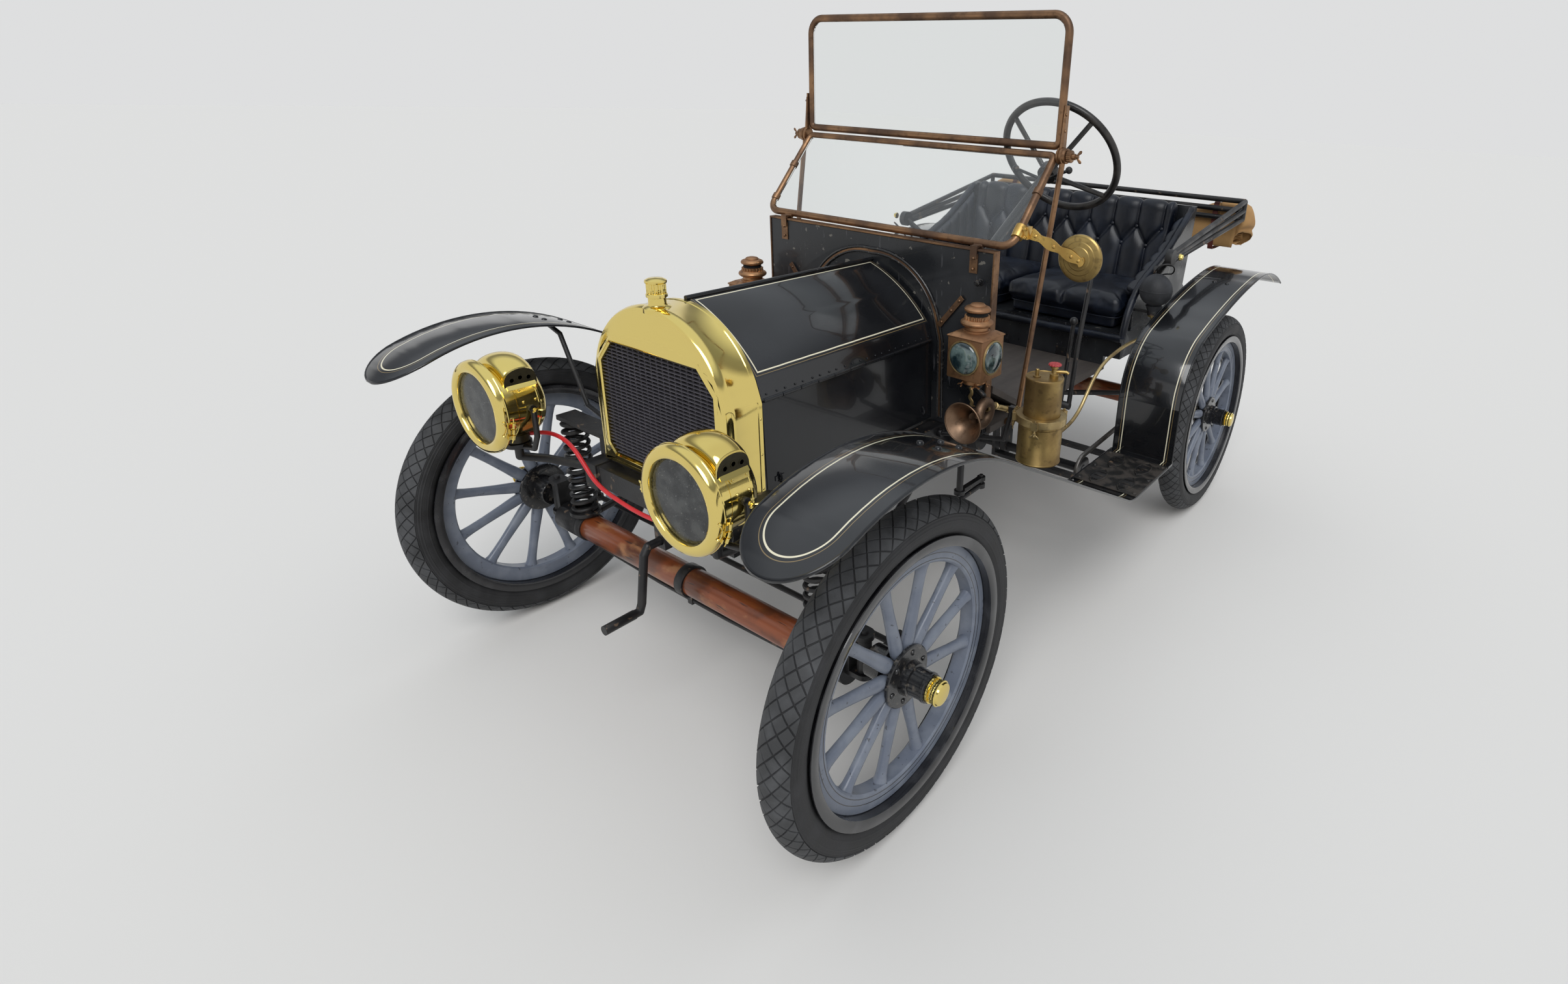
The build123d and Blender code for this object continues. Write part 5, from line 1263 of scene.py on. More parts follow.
# %% Hinge, latch and fork screws
def add_door_hinge(shape, where):
    """The hinge and the wire latch are on the car's left of both lamps."""
    start, hasp = radians(96), radians(266)

    def facing_out(turn, radius, depth, lean=0.0):
        return where @ facing(round_lamp(turn, radius, depth), round_lamp(turn, 1, lean))

    def pin(turn):
        return where @ round_lamp(turn, 0.1225, -0.0300)

    for knuckle in range(3):
        first = start + 0.14 * knuckle
        shape.tube([pin(first + 0.115 * step / 3) for step in range(4)], 0.0048, 10)
        leaf_depth = -0.0265 if knuckle % 2 else -0.0235
        shape.block((0.012, 0.012, 0.008), facing_out(first + 0.0575, 0.1150, leaf_depth))
    shape.tube([pin(start - 0.09 + 0.10 * step) for step in range(7)], 0.0018, 8)
    latch = smooth_line([where @ round_lamp(start + turn, radius, depth) for turn, radius, depth in (
        (-0.02, 0.1190, -0.006), (0.03, 0.1215, -0.010), (0.12, 0.1200, -0.013), (0.22, 0.1215, -0.010),
        (0.30, 0.1190, -0.006))], 4)
    shape.tube(latch, 0.0013, 8)
    for turn in (-0.02, 0.30):
        shape.bolt(facing_out(start + turn, 0.1165, -0.009, 0.5), 0.0046, 0.004)
    shape.block((0.020, 0.014, 0.006), facing_out(hasp, 0.1165, -0.016))
    shape.wing_screw(facing_out(hasp, 0.1215, -0.016), 0.009)


def add_fork_screws(shape, where):
    """Where the fork holds the drum: a thumb screw on its axle, and two rivets above it."""
    axle_depth = -0.092
    for side in (-1, 1):
        for shift in (-0.0153, 0.0153):
            spot = round_lamp(side * (pi / 2 - 0.20), 0.0922, axle_depth + shift)
            shape.bolt(where @ facing(spot, (side, 0.1, 0)), 0.0042, 0.003)
        shape.wing_screw(where @ facing((side * 0.1078, 0, axle_depth), (side, 0, 0), to_back), 0.011)


# %% Headlamps
headlamp_x, headlamp_front_y, headlamp_z = 0.380, -0.300, 0.835
for side, hand in hands:
    where = facing(at(side * headlamp_x, headlamp_front_y, headlamp_z), to_front)
    headlamp = Shape()
    for add in (add_drum, add_saddle, add_door_hinge, add_fork_screws):
        add(headlamp, where)
    foot, burner = (facing(at(side * headlamp_x, -0.208, z), to_top) for z in (0.722, 0.7435))
    headlamp.turned(mm("8 0, 8 45, 4 50, 4 62, 0.1 63"), burner, 16)
    headlamp.tone = 1
    headlamp.turned(mm("0.1 0, 28 0, 30 2, 30 21.5, 27 23.5, 25 30, 0.1 30"), foot, 40)
    piece(f"headlamp_{hand}", headlamp, [bright_brass, dark_plate, painted_hole_shade], crease=30,
          stands_for=["headlamp_shells", "headlamp_rims"] if hand == "left" else ())

# %% [markdown]
# ## Side lamps
#
# Small oil lamps by the dash, folded from copper that has gone an even brown. The body is a square box with
# pressed seams, a low roof and a stacked chimney; two faces carry domed lenses in brass bezels.

# %% Side lamp
def square_ring(half, corner, height, steps=4):
    row = []
    for quarter in range(4):
        x, y = (copysign(half - corner, part) for part in around(pi / 2 * quarter + 0.7).xy)
        middle = Vector((x, y, height))
        row += [middle + around(pi / 2 * (quarter + step / steps), corner) for step in range(steps + 1)]
    return row


# The box and its low roof as half width, corner radius and height; the rest as radius and height.
box_rings = mm("50 4 0, 54.5 3 1, 55.8 3 4, 55.8 3 116, 58.5 3 117.5, 59 3 120, 57.5 3 121.5, 42 6 130")
chimney_rings = mm("0.1 0, 37 0, 37 4.5, 34.5 6, 32 6.5, 32 15, 40 17, 44.5 21, 45.5 25, 44 29, "
                   "38.5 33, 37 34.5, 35 35")
flue_rings = mm("0.1 34.5, 35 35, 35 44, 33 45, 0.1 45")
cap_rings = mm("27 56, 34.5 56.5, 36.5 59, 36.5 63, 33.5 67, 27 70, 21.5 71, 21.5 73, 18 76.5, 8 79, "
               "0.1 79.5")
side_lamp_x, side_lamp_y, side_lamp_z = 0.440, 0.666, 0.925
box_half = 0.0558


def add_side_lamp(shape, side):
    x, y = side * side_lamp_x, side_lamp_y
    bottom, roof, collar = (Matrix.Translation(at(x, y, z)) for z in (0.861, 0.990, 0.840))
    shape.loft([square_ring(*ring) for ring in box_rings], bottom)
    shape.turned(chimney_rings, roof, 56)
    shape.turned(flue_rings, roof, 80, flutes=20, depth=0.0035)
    shape.turned(cap_rings, roof, 56)
    shape.turned(mm("37.5 -4, 40.5 0, 37.5 1.5"), roof, 48, loop=True)
    # A near-black band fills the gap between the flue and the cap: painted shade in the gap.
    shape.tone = 2
    shape.turned(mm("29 44, 29 57"), roof, 40)
    shape.tone = 0
    shape.turned(mm("0.1 0, 30 0, 34 3, 34 12, 38.5 15, 40.5 20.5, 38.5 21.5"), collar, 48)
    for angle in map(radians, (20, 140, 235, 310)):
        shape.wing_screw(facing(at(x, y, 0.846) + around(angle, 0.031), around(angle, 1, -0.8)), 0.010)
    for direction in (to_front, (side, 0, 0)):
        front = facing(at(x, y, side_lamp_z) + Vector(direction) * 0.0555, direction)
        shape.tone = 1
        shape.turned(mm("44 0, 44 3.5, 45.3 5.2, 48.2 4.6, 49.6 2, 49.6 0"), front, 56, loop=True)
    shape.tone = 0
    inner = facing(at(x - side * box_half, y, side_lamp_z), (-side, 0, 0))
    for z in (-0.035, 0.035):
        shape.tube([inner @ Vector((-0.05, z + shift, 0.002)) for shift in (-0.01, 0.01)], 0.003, 8)
    back = facing(at(x, y + box_half, side_lamp_z), to_back)
    shape.plate(rectangle(0.035, 0.04), 0.002, back)


side_lamps = Shape()
for side in (1, -1):
    add_side_lamp(side_lamps, side)
piece("side_lamps_dressed", side_lamps, [copper, dull_brass, painted_hole_shade], edge=0.0006, crease=32,
      stands_for=["side_lamp_bodies"])
drop = Shape()
drop.tube(smooth_line(places("447 640 836, 452 640 820, 446 641 805, 453 643 792, 449 646 782, "
                             "456 652 776"), 5), 0.0055, 10, flat=0.35, up=to_front)
piece("lamp_drop_bracket", drop, [dull_brass], crease=50)

# %% [markdown]
# A lens is thicker in the middle. The glass is a shallow cap of a sphere, closed at the back, so that it
# bulges out of its bezel and shows one curved highlight.

# %% Lenses
def add_cap(shape, where, radius, bulge, back):
    """A domed glass: its edge at height 0, its middle bulge higher, and its flat back."""
    front = [(radius * cos(turn), bulge * sin(turn)) for turn in turns(32)[:8]] + [(0.0001, bulge)]
    shape.turned([(0.0001, -back), (radius, -back)] + front, where, 56)


lenses = Shape()
for side in (1, -1):
    lenses.tone = 0
    add_cap(lenses, facing(at(side * headlamp_x, -0.286, headlamp_z), to_front), 0.0894, 0.004, 0.003)
    lenses.tone = 1
    for direction in (to_front, (side, 0, 0)):
        middle = at(side * side_lamp_x, side_lamp_y, side_lamp_z) + Vector(direction) * 0.0575
        add_cap(lenses, facing(middle, direction), 0.0446, 0.0145, 0.002)
piece("lamp_lenses", lenses, [lamp_glass, lens_tint_and_shade], crease=60, stands_for=["lamp_glasses"])

# %% [markdown]
# ## Horn
#
# A bulb horn: a spun bell, one turn of tube behind it, and a long tube back to the rubber bulb by the driver.
# The bell is turned with a real inside, because the camera looks straight into it.

# %% Horn bell and coil
horn = Shape()
mouth = facing(at(0.468, 0.575, 0.752), to_back)
outside = mm("60 0, 59.8 1.8, 56 8, 47 18, 36 32, 26.5 48, 19 64, 15 80")
inside = mm("12.5 80, 16.5 64, 24 48, 33.5 32, 44.8 18, 54 7.5, 58.2 1.5")
horn.turned(outside + inside, mouth, 72, loop=True)
bead_radius = 0.0020
horn.turned([(0.0582 + bead_radius * cos(turn), 0.0010 + bead_radius * sin(turn))
             for turn in turns(8)], mouth, 72, loop=True)
horn.turned(mm("15 66, 21.5 68, 22.5 74, 21.5 80, 15 82"), mouth, 40)
coil, radii = places("465.5 636 752"), [0.0135]
for step in range(41):
    turn = tau * step / 40
    coil.append(at(0.462 + 0.018 * step / 40, 0.675 - 0.034 * cos(turn), 0.752 - 0.034 * sin(turn)))
    radii.append(0.0135 + 0.003 * sin(turn / 2))
horn.tube(coil, radii, 18)
horn.tone = 1
elbow = smooth_line(places("476 690 766, 476.5 712 768, 476 730 762, 475 746 753, 485 764 746, "
                           "496 782 738, 512 804 719"), 5)
horn.tube(elbow, 0.0082, 16)
for index in (0, 12, 24, -1):
    ahead = elbow[index] - elbow[index - 1] if index else elbow[1] - elbow[0]
    horn.turned(mm("8 -6, 10.5 -5, 10.5 1, 8 2"), facing(elbow[index], ahead), 24, loop=True)
piece("horn_spun", horn, [horn_copper, dull_brass], crease=45, stands_for=["horn"])

# %% Bulb
bulb = Shape()
ball, neck = (Matrix.Translation(at(0.585, 1.618, z)) for z in (0.968, 0.871))
ball_radius = 0.0575
rings = []
for turn in (pi * step / 24 for step in range(25)):
    pear = 1 + 0.03 * sin(2 * turn)
    rings.append((max(0.0001, ball_radius * sin(turn) * pear), -ball_radius * cos(turn)))
bulb.turned(rings, ball, 56)
bulb.turned(mm("57.7 -1.6, 58.6 0, 57.7 1.6, 57 0"), ball, 56, loop=True)
bulb.turned(mm("15 0, 15 12, 19 18, 25 30, 30 40, 20 46"), neck, 36)
bulb.tone = 1
bulb.turned(mm("15.2 0, 17.2 1, 17.2 10.5, 15.2 11.5"), neck, 36, loop=True)
piece("bulb_rubber_dressed", bulb, [bulb_rubber, dull_brass], crease=40, stands_for=["horn_bulb"])

# %% [markdown]
# ## Gas generator
#
# Carbide and water make the lamps' gas in this pair of brass cans. Old lacquer has left the brass streaky
# and brown. A cast ring with thumb screws clamps the two together.

# %% Generator
gas_can = Shape()
base = Matrix.Translation(at(0.630, 0.725, 0.640))
gas_can.turned(mm("0.1 0, 60 0, 62.5 1.5, 62.8 4.5, 61.5 6.5, 61.5 108, 63 110, 63 116.5, 54 117.8, "
                  "51.5 118.5, 51.5 238, 52.5 239.5, 52.5 246, 51 248, 49 247.8, 48 246, 0.1 247"), base, 72)
gas_can.tone = 1
clamp_ring = mm("67.5 117, 70 118, 70.5 127, 70 138, 67.5 139.2, 52 139.2, 52 138.4, 67.2 138.4")
gas_can.turned(clamp_ring, base, 72, loop=True)
for angle in map(radians, (-75, 60, 185, -150)):
    out = around(angle)
    lug = facing(base @ around(angle, 0.0690, 0.128), out)
    gas_can.block((0.017, 0.024, 0.011), lug)
    gas_can.tube([lug @ Vector(spot) for spot in mm("0 16 6, 0 -20 6, 0 -30 8")], 0.0035, 10)
    gas_can.wing_screw(facing(lug @ Vector((0, -0.018, 0.007)), (0, 0, -1), out), 0.011)
gas_can.tone = 0
post, tap = (base @ Matrix.Translation(spot) for spot in mm("-18 -12 247, 22 10 247"))
gas_can.turned(mm("11 -1, 11 2, 9.5 3, 5.2 3.2, 5.2 20, 4 21.5, 0.1 21.5"), post, 24)
gas_can.turned(mm("12 -1, 12.5 10, 8 13, 7.5 24, 10.5 26, 10.5 33, 0.1 34"), tap, 24)
gas_can.tube([tap @ Vector(spot) for spot in mm("4 0 18, 30 12 18, 36 14 14")], 0.0048, 12)
gas_can.tone = 2
gas_can.turned(mm("0.1 33, 16.5 33.5, 18.5 36, 16.5 39.5, 6 41, 0.1 41"), tap, 48, flutes=12, depth=0.0018)
piece("generator_cans", gas_can, [generator_brass, dull_brass, tap_red], edge=0.0005, crease=35,
      stands_for=["gas_generator"])

# %% [markdown]
# ## Mirror and windscreen fittings
#
# The mirror is a spun brass disc, turned in steps, on a flat arm whose edges are cut in scallops. The
# windscreen's halves meet at friction hinges, which are stacked discs with a knurled nut that the driver
# tightens by hand.

# %% Mirror
def strip_place(start, end):
    """A matrix at start whose X runs to end, for flat strips that face forward."""
    run = (end - start).normalized()
    forward = Vector(to_front)
    place = Matrix((run, forward.cross(run), forward)).transposed().to_4x4()
    place.translation = start
    return place


mirror = Shape()
mirror.tone = 1
disc = facing(at(0.644, 0.834, 1.194), to_front)
mirror.turned(mm("0.1 10.5, 12 10, 15 8.5, 30.5 7.5, 32.5 5.5, 44 4.8, 46 2.5, 56.5 1.8, 60.5 0, "
                 "63.5 -3, 63.7 -8.5, 61.5 -10.5, 56 -10.8, 0.1 -10.8"), disc, 72)
mirror.tone = 0
arm_start, arm_end = places("500 825 1244, 650 825 1190")
arm_place, reach = strip_place(arm_start, arm_end), (arm_end - arm_start).length
scallops = [(reach * step / 36, 0.0098 + 0.0062 * abs(cos(2.5 * pi * step / 36)) ** 1.5)
            for step in range(37)]
scallops += [(reach + 0.0155 * sin(turn), 0.0160 * cos(turn)) for turn in (0.4, 0.8, 1.2)]
mirror.plate(scallops + [(x, -y) for x, y in reversed(scallops)], 0.0045, arm_place)
for share in (0.10, 0.48, 0.84, 0.99):
    mirror.bolt(arm_place @ Matrix.Translation((reach * share, 0, 0.0045)), 0.0055, 0.0035)
screen_slope = Vector((0, 0.218, 0.245)).normalized()
screen_clamp = facing(at(0.468, 0.812, 1.245), screen_slope)
mirror.turned(mm("11.2 -20, 16.5 -19, 17.5 0, 16.5 19, 11.2 20"), screen_clamp, 36, loop=True)
mirror.block((0.026, 0.030, 0.034), facing(at(0.482, 0.820, 1.228), to_top))
for z in (1.234, 1.256):
    mirror.bolt(facing(at(0.489, 0.806, z), to_front), 0.0055, 0.005, nut=True)
piece("mirror_spun", mirror, [arm_brass, mirror_brass], edge=0.0008, crease=30, stands_for=["mirror"])

# %% Friction hinges and screen bolts
hinges = Shape()
for side in (1, -1):
    axle = outward(side, 0.4795, 0.984, 1.440)
    hinges.turned(mm("0.1 0, 21.5 0, 23.5 1.5, 23.5 6.5, 20.5 8, 20.5 10, 23.5 11.5, 23.5 17, "
                     "20.5 18.5, 20.5 27, 14 28, 0.1 28.5"), axle, 48)
    hinges.turned(mm("13 28, 17 29.5, 17 41.5, 13 43, 8.5 43.5, 8.5 52.5, 0.1 53.5"), axle, 72,
                  flutes=18, depth=0.0014)
    hinges.wing_screw(facing(at(side * 0.527, 0.984, 1.440), (side, 0, 0), to_back), 0.014)
    hinges.tube(places("486.5 984 1452, 486.5 987 1500, 486.5 990 1560", side), [0.011, 0.009, 0.007], 10,
                flat=0.5, up=(1, 0, 0))
    for z in (1.505, 1.548):
        hinges.bolt(outward(side, 0.491, 0.988, z), 0.0042, 0.0032)
    for spot in places("468 812 1245.5, 468 900 1345", side):
        hinges.turned(mm("11.2 -10, 13.8 -9, 13.8 9, 11.2 10"), facing(spot, screen_slope), 32, loop=True)
    for foot in places("367 742.5 1138, 367 742.5 1168", side):
        hinges.bolt(facing(foot, to_front), 0.0046, 0.003)
    hinges.tube(places("353 767.5 1199.5, 381 767.5 1199.5", side), 0.0058, 12)
piece("screen_hinges", hinges, [tube_brass], crease=35)

# %% [markdown]
# ## Dash beading
#
# Behind the hood the dash carries two rows of half-round beading that follow the hood's arch. Each is a tube
# along the arch, set half into the panel.

# %% Dash beads
bead = Shape()
for grow, radius in ((0.0165, 0.0038), (0.0305, 0.0045)):
    foot = [(0.226 + grow, 0.960 + grow / 2), (0.243 + grow, 0.908), (0.250 + grow, 0.668)]
    half = arch(1.115 + grow, *foot[0], 0.054) + along(foot, (4, 8))
    path = [(-x, z) for x, z in reversed(half[1:])] + half
    bead.tube([at(x, 0.7465, z) for x, z in path], radius, 10, up=to_back)
piece("dash_beads", bead, [hub_black], crease=60)

# %% [markdown]
# ## Stuffed leather
#
# The seat is horsehair under black leather. An upholsterer tacks the leather down along its folds and pulls
# it in at the buttons, and the stuffing pushes it out everywhere else. The same is done here: each piece is
# shaped with its folds first, and then blown up a little as cloth under pressure, with the stitched places
# held still. How far a point may move is capped, so that the seat keeps its size.

# %% Blow up a stuffed piece
pressure, last_frame, fill = 4, 20, 0.8


def stuffed(name, shape, held, swell, stands_for=()):
    """A leather piece that is held where held(place) is 1, and swells up to swell metres elsewhere."""
    made = piece(name, shape, [seat_hide], crease=180, stands_for=stands_for)
    stitches = made.vertex_groups.new(name="stitches")
    for index, corner in enumerate(made.data.vertices):
        x, y, z = made.matrix_world @ corner.co
        stitches.add([index], held(x, y - front_axle_y, z), "REPLACE")
    cloth = made.modifiers.new("stuffing", "CLOTH")
    cloth.settings.use_pressure = True
    cloth.settings.uniform_pressure_force = pressure
    cloth.settings.effector_weights.gravity = 0
    cloth.settings.vertex_group_mass = stitches.name
    for step in range(1, last_frame + 1):
        bpy.context.scene.frame_set(step)
    blown = made.evaluated_get(bpy.context.evaluated_depsgraph_get()).data
    moves = [after.co - before.co for before, after in zip(made.data.vertices, blown.vertices)]
    made.modifiers.remove(cloth)
    made.vertex_groups.clear()
    for corner, move in zip(made.data.vertices, moves):
        corner.co += move * min(1.0, swell / max(move.length, 1e-9))
    bpy.context.scene.frame_set(1)
    print(name, "moved at most", round(max(move.length for move in moves) * 1000, 1), "mm before the cap")
    smooth = made.modifiers.new("smooth", "SUBSURF")
    smooth.levels = smooth.render_levels = 1


# %% [markdown]
# The back has two staggered rows of buttons. A fold runs from each button to its two neighbours in the other
# row, and pleats run from the rows up over the rounded top and down behind the cushions. The leather stands
# highest half way between two folds, so its height follows from the distance to the nearest fold.

# %% Folds of the back
column = 0.0525
last_button = 8
low_row, high_row = 0.2378, 0.3092
back_foot, back_top, back_length = Vector((1.984, 0.812)), Vector((2.060, 1.185)), 0.3806
top_centre, top_radius, top_turn = Vector((2.084, 1.188)), 0.0245, 3.02
over_top = back_length + top_turn * top_radius


def button_height(index):
    return low_row if index % 2 else high_row


def away(here, start, end):
    """Distance from a point to a straight fold."""
    line, here = Vector(end) - Vector(start), here - Vector(start)
    return (here - line * clamp(here.dot(line) / line.length_squared)).length


def fold_distance(u, v):
    """Distance to the nearest fold, across and up the face of the back."""
    here, nearest = Vector((u, v)), column
    first = floor(u / column) - 1
    for index in range(first, first + 4):
        button = (index * column, button_height(index))
        if abs(index) <= last_button:
            pleat_end = (index * column, -1.0 if index % 2 else 1.0)
            nearest = min(nearest, away(here, button, pleat_end))
        if -last_button - 1 < index < last_button:
            nearest = min(nearest, away(here, button, ((index + 1) * column, button_height(index + 1))))
    return nearest


def back_place(v):
    """The back's face at v metres up as (y, z), and the way that its leather faces there."""
    if v <= back_length:
        way = (back_top - back_foot).normalized()
        return back_foot + way * v, Vector((-way.y, way.x))
    turn = (v - back_length) / top_radius
    if turn <= top_turn:
        out = around(pi + 0.123 - turn).xy
        return top_centre + out * top_radius, out
    out = Vector((1.0, 0.1)).normalized()
    return top_centre + out * top_radius + Vector((-0.13, -1)).normalized() * (v - over_top), out


def crowded(steps):
    """Shares from 0 to 1, closer together at both ends."""
    return [step / steps - 0.06 * sin(tau * step / steps) for step in range(steps)]


print("buttons", 2 * last_button + 1)

# %% Back of the seat
half_back = 0.459
across = sorted({round(side * column * (index + share), 6) for index in range(9) for share in crowded(8)
                 for side in (-1, 1) if column * (index + share) < half_back - 0.012})
rim_steps = [half_back - 0.010, half_back - 0.004, half_back]
across = [-x for x in reversed(rim_steps)] + across + rim_steps
upwards = [low_row * step / 24 for step in range(24)]
upwards += [low_row + (high_row - low_row) * share for share in crowded(8)]
upwards += [high_row + (over_top - high_row) * step / 17 for step in range(17)]
upwards += [over_top + 0.055 * step / 5 for step in range(6)]


def leather_height(u, v, rounding):
    """How far the leather stands out: puffed between folds, drawn in at the buttons and at the ends."""
    puff = (1 - (1 - min(1.0, fold_distance(u, v) / (0.8 * column))) ** 2) ** 0.6
    over = clamp((v - back_length) / (over_top - back_length))
    foot = min(1.0, v / 0.03)
    height = 0.019 * puff * (1 - over) * (0.4 + 0.6 * foot) + 0.010 * puff * over * (1 - over) * 2.2
    pull = 1.0
    if 0.2 < v < 0.35:
        pull = min(hypot(u - column * index, v - button_height(index))
                   for index in range(-last_button, last_button + 1))
    return height * rounding - 0.006 * exp(-(pull / 0.010) ** 2) - 0.018 * (1 - rounding)


back_shape = Shape()
rows = []
for u in across:
    rounding = sqrt(max(0.0, 1 - (1 - min(1.0, (half_back - abs(u)) / 0.020)) ** 2))
    row = []
    for v in upwards:
        spot, out = back_place(v)
        row.append(at(u, *(spot + out * leather_height(u, v, rounding))))
    rows.append(row + [at(u, 2.080, 0.95), at(u, 2.062, 0.812), at(u, 2.020, 0.812)])
back_shape.loft(rows)


def back_held(x, y, z):
    """1 on the folds, the buttons and everything that lies against the wood."""
    slant = Vector((y, z)) - back_foot
    way = Vector((0.076, 0.373)).normalized()
    behind = slant.x * way.y - slant.y * way.x
    if abs(x) > half_back - 0.012 or y > 2.088 or z < 0.822 or behind > 0.035:
        return 1.0
    return 1.0 if fold_distance(x, slant.dot(way)) < 0.0025 else 0.0


stuffed("buttoned_back", back_shape, back_held, 0.006, ["seat_back"])

# %% Buttons
buttons = Shape()
for index in range(-last_button, last_button + 1):
    spot, out = back_place(button_height(index))
    place = facing(at(index * column, *(spot - out * 0.0010)), (0, out.x, out.y))
    buttons.turned(mm("0.1 -4, 7 -4, 8.2 1.8, 7.4 4.5, 4.5 6.3, 0.1 7"), place, 20)
piece("seat_buttons", buttons, [seat_hide], crease=60)

# %% [markdown]
# The arms are padded inside in the same way, with plain pleats and no buttons. A roll of leather covers the
# wood's top edge and the front edge of the seat box, where a driver climbs in.

# %% Padded arms and rolled edges
arm_start_y, arm_length, pleat = 1.625, 0.446, 0.062


def arm_top(y):
    return 0.980 + (min(y, 1.89) - 1.69) * 0.42 + max(0.0, y - 1.89) * 0.60


def pleat_gap(y):
    """How far a place is from the nearest pleat of the arm, as a part of a pleat."""
    share = (y - arm_start_y) / pleat
    return abs(share - round(share))


def arm_held(x, y, z):
    return 1.0 if abs(x) > 0.495 or z < 0.950 or pleat_gap(y) < 0.06 or not 1.64 < y < 2.05 else 0.0


def arm_row(side, y):
    """The pad's section at a place along the arm: flat on the wood, and plump inside."""
    ending = min(1.0, (y - 1.622) / 0.015, (2.073 - y) / 0.012)
    plump = (0.62 + 0.38 * (1 - (1 - 2 * pleat_gap(y)) ** 2) ** 0.6) * sqrt(max(0.02, ending))
    foot, top = 0.943, arm_top(y) + 0.004
    row = []
    for turn in turns(20):
        inward = 0.5 - 0.5 * squarish(cos(turn), 0.5)
        rise = squarish(sin(turn), 0.6) * (0.93 + 0.07 * plump)
        row.append(at(side * (0.5040 - 0.040 * inward * plump), y,
                      (foot + top) / 2 + (top - foot) / 2 * rise))
    return row


for side, hand in hands:
    arm = Shape()
    arm.loft([arm_row(side, arm_start_y + arm_length * step / 72) for step in range(73)])
    stuffed(f"arm_pad_{hand}", arm, arm_held, 0.004)
    edging = Shape()
    line = smooth_line([at(side * 0.512, y, z) for y, z in mm("1590 915, 1640 962, 1700 992, 1800 1030, "
                                                              "1900 1072, 2010 1140, 2100 1196")], 8)
    edging.tube(line, [0.0135 + 0.0012 * sin(1.9 * step) * sin(0.7 * step + side)
                       for step in range(len(line))], 14)
    front_post = [at(side * 0.512, y, z) for y, z in mm("1592 918, 1566 880, 1548 830, 1541 790")]
    edging.tube(smooth_line(front_post, 6), 0.0135, 14)
    piece(f"arm_roll_{hand}", edging, [seat_hide], crease=70)
rail = Shape()
front = [at(0.512 * (step / 30 - 1), 1.539, 0.789 - 0.003 * sin(pi * step / 60))
         for step in range(61)]
rail.tube(front, [0.0145 + 0.0007 * sin(1.3 * step) for step in range(61)], 16)
piece("front_roll", rail, [seat_hide], crease=70)

# %% [markdown]
# Two loose cushions lie side by side. Each has a top that is sewn to an upright band, with one deep pleat
# from front to back, so its front edge rolls over in two fat puffs and stands proud of the band.

# %% Seat cushions
half_wide, half_deep, half_tall = 0.235, 0.204, 0.0575
cushion_x, cushion_y, cushion_z = 0.2485, 1.750, 0.8695
seam_z = -0.016


def cushion_place(u, v, w):
    """From a cube of -1 to 1 to the cushion: u across, v back, w up. The band below the seam is set in."""
    corner = Vector((half_wide * u, half_deep * v, half_tall * w))
    inner = Vector((max(-0.211, min(0.211, corner.x)), max(-0.180, min(0.180, corner.y)),
                    max(-0.044, min(0.032, corner.z))))
    radius = 0.024 if corner.z > 0 else 0.012
    reach = corner - inner
    if reach.length > 1e-9:
        corner = inner + reach.normalized() * radius
    set_in = 0.010 if corner.z < seam_z else 0.010 * (1 - min(1.0, (corner.z - seam_z) / 0.012))
    corner.x *= 1 - set_in / half_wide
    corner.y *= 1 - set_in / half_deep
    if corner.z > 0:
        crown = (1 - (corner.x / 0.245) ** 2) * (1 - (corner.y / 0.214) ** 2)
        corner.z += 0.010 * max(0.0, crown)
        fold = exp(-(corner.x / 0.009) ** 2) * max(0.25, min(1.0, 0.55 - 3.4 * corner.y))
        puffs = 0.006 * sin(pi * min(1.0, abs(corner.x) / 0.225)) * clamp(-corner.y * 8)
        corner.z += puffs - 0.016 * fold
        corner.y += (0.012 * fold if corner.y < -0.18 else 0) - (puffs if corner.y < -0.19 else 0)
    return corner


def add_cushion(shape, middle_x):
    """The six sides of the cube, each as its own grid."""
    spans = {"u": 56, "v": 48, "w": 14}

    def spot(**place):
        x, y, z = cushion_place(**place)
        return at(middle_x + x, cushion_y + y, cushion_z + z)

    for fixed, first, second in (("w", "u", "v"), ("v", "u", "w"), ("u", "v", "w")):
        for side in (-1, 1):
            shape.loft([[spot(**{fixed: side, first: 2 * i / spans[first] - 1,
                                 second: 2 * j / spans[second] - 1})
                         for j in range(spans[second] + 1)] for i in range(spans[first] + 1)],
                       closed=False, ends=False)


def cushion_held(x, y, z):
    """1 on the band under the seam, and along the pleat."""
    on_pleat = abs(abs(x) - cushion_x) < 0.006 and y < 1.80
    return 1.0 if z < 0.8565 or on_pleat else 0.0


welts = Shape()
for side, hand in hands:
    cushion = Shape()
    add_cushion(cushion, side * cushion_x)
    stuffed(f"cushion_{hand}", cushion, cushion_held, 0.008, ["seat_cushions"] if hand == "left" else ())
    welts.tube([at(side * cushion_x + 0.226 * squarish(cos(turn), 0.18),
                   cushion_y + 0.195 * squarish(sin(turn), 0.18), 0.8535) for turn in turns(96)],
               0.0024, 8, loop=True)
piece("cushion_welts", welts, [seat_hide], crease=80)

# %% [markdown]
# ## Folded canvas
#
# The top is down, so its tan canvas lies folded in a long bundle behind its irons. It is one cloth: fold upon
# fold inside, with the last turn wrapped round the outside and its hem left loose at the back. The cut ends
# show at both sides. So the section is drawn as one line, and the cloth is that line, run from end to end
# with folds that wander a little. Between the two straps the bundle sags.

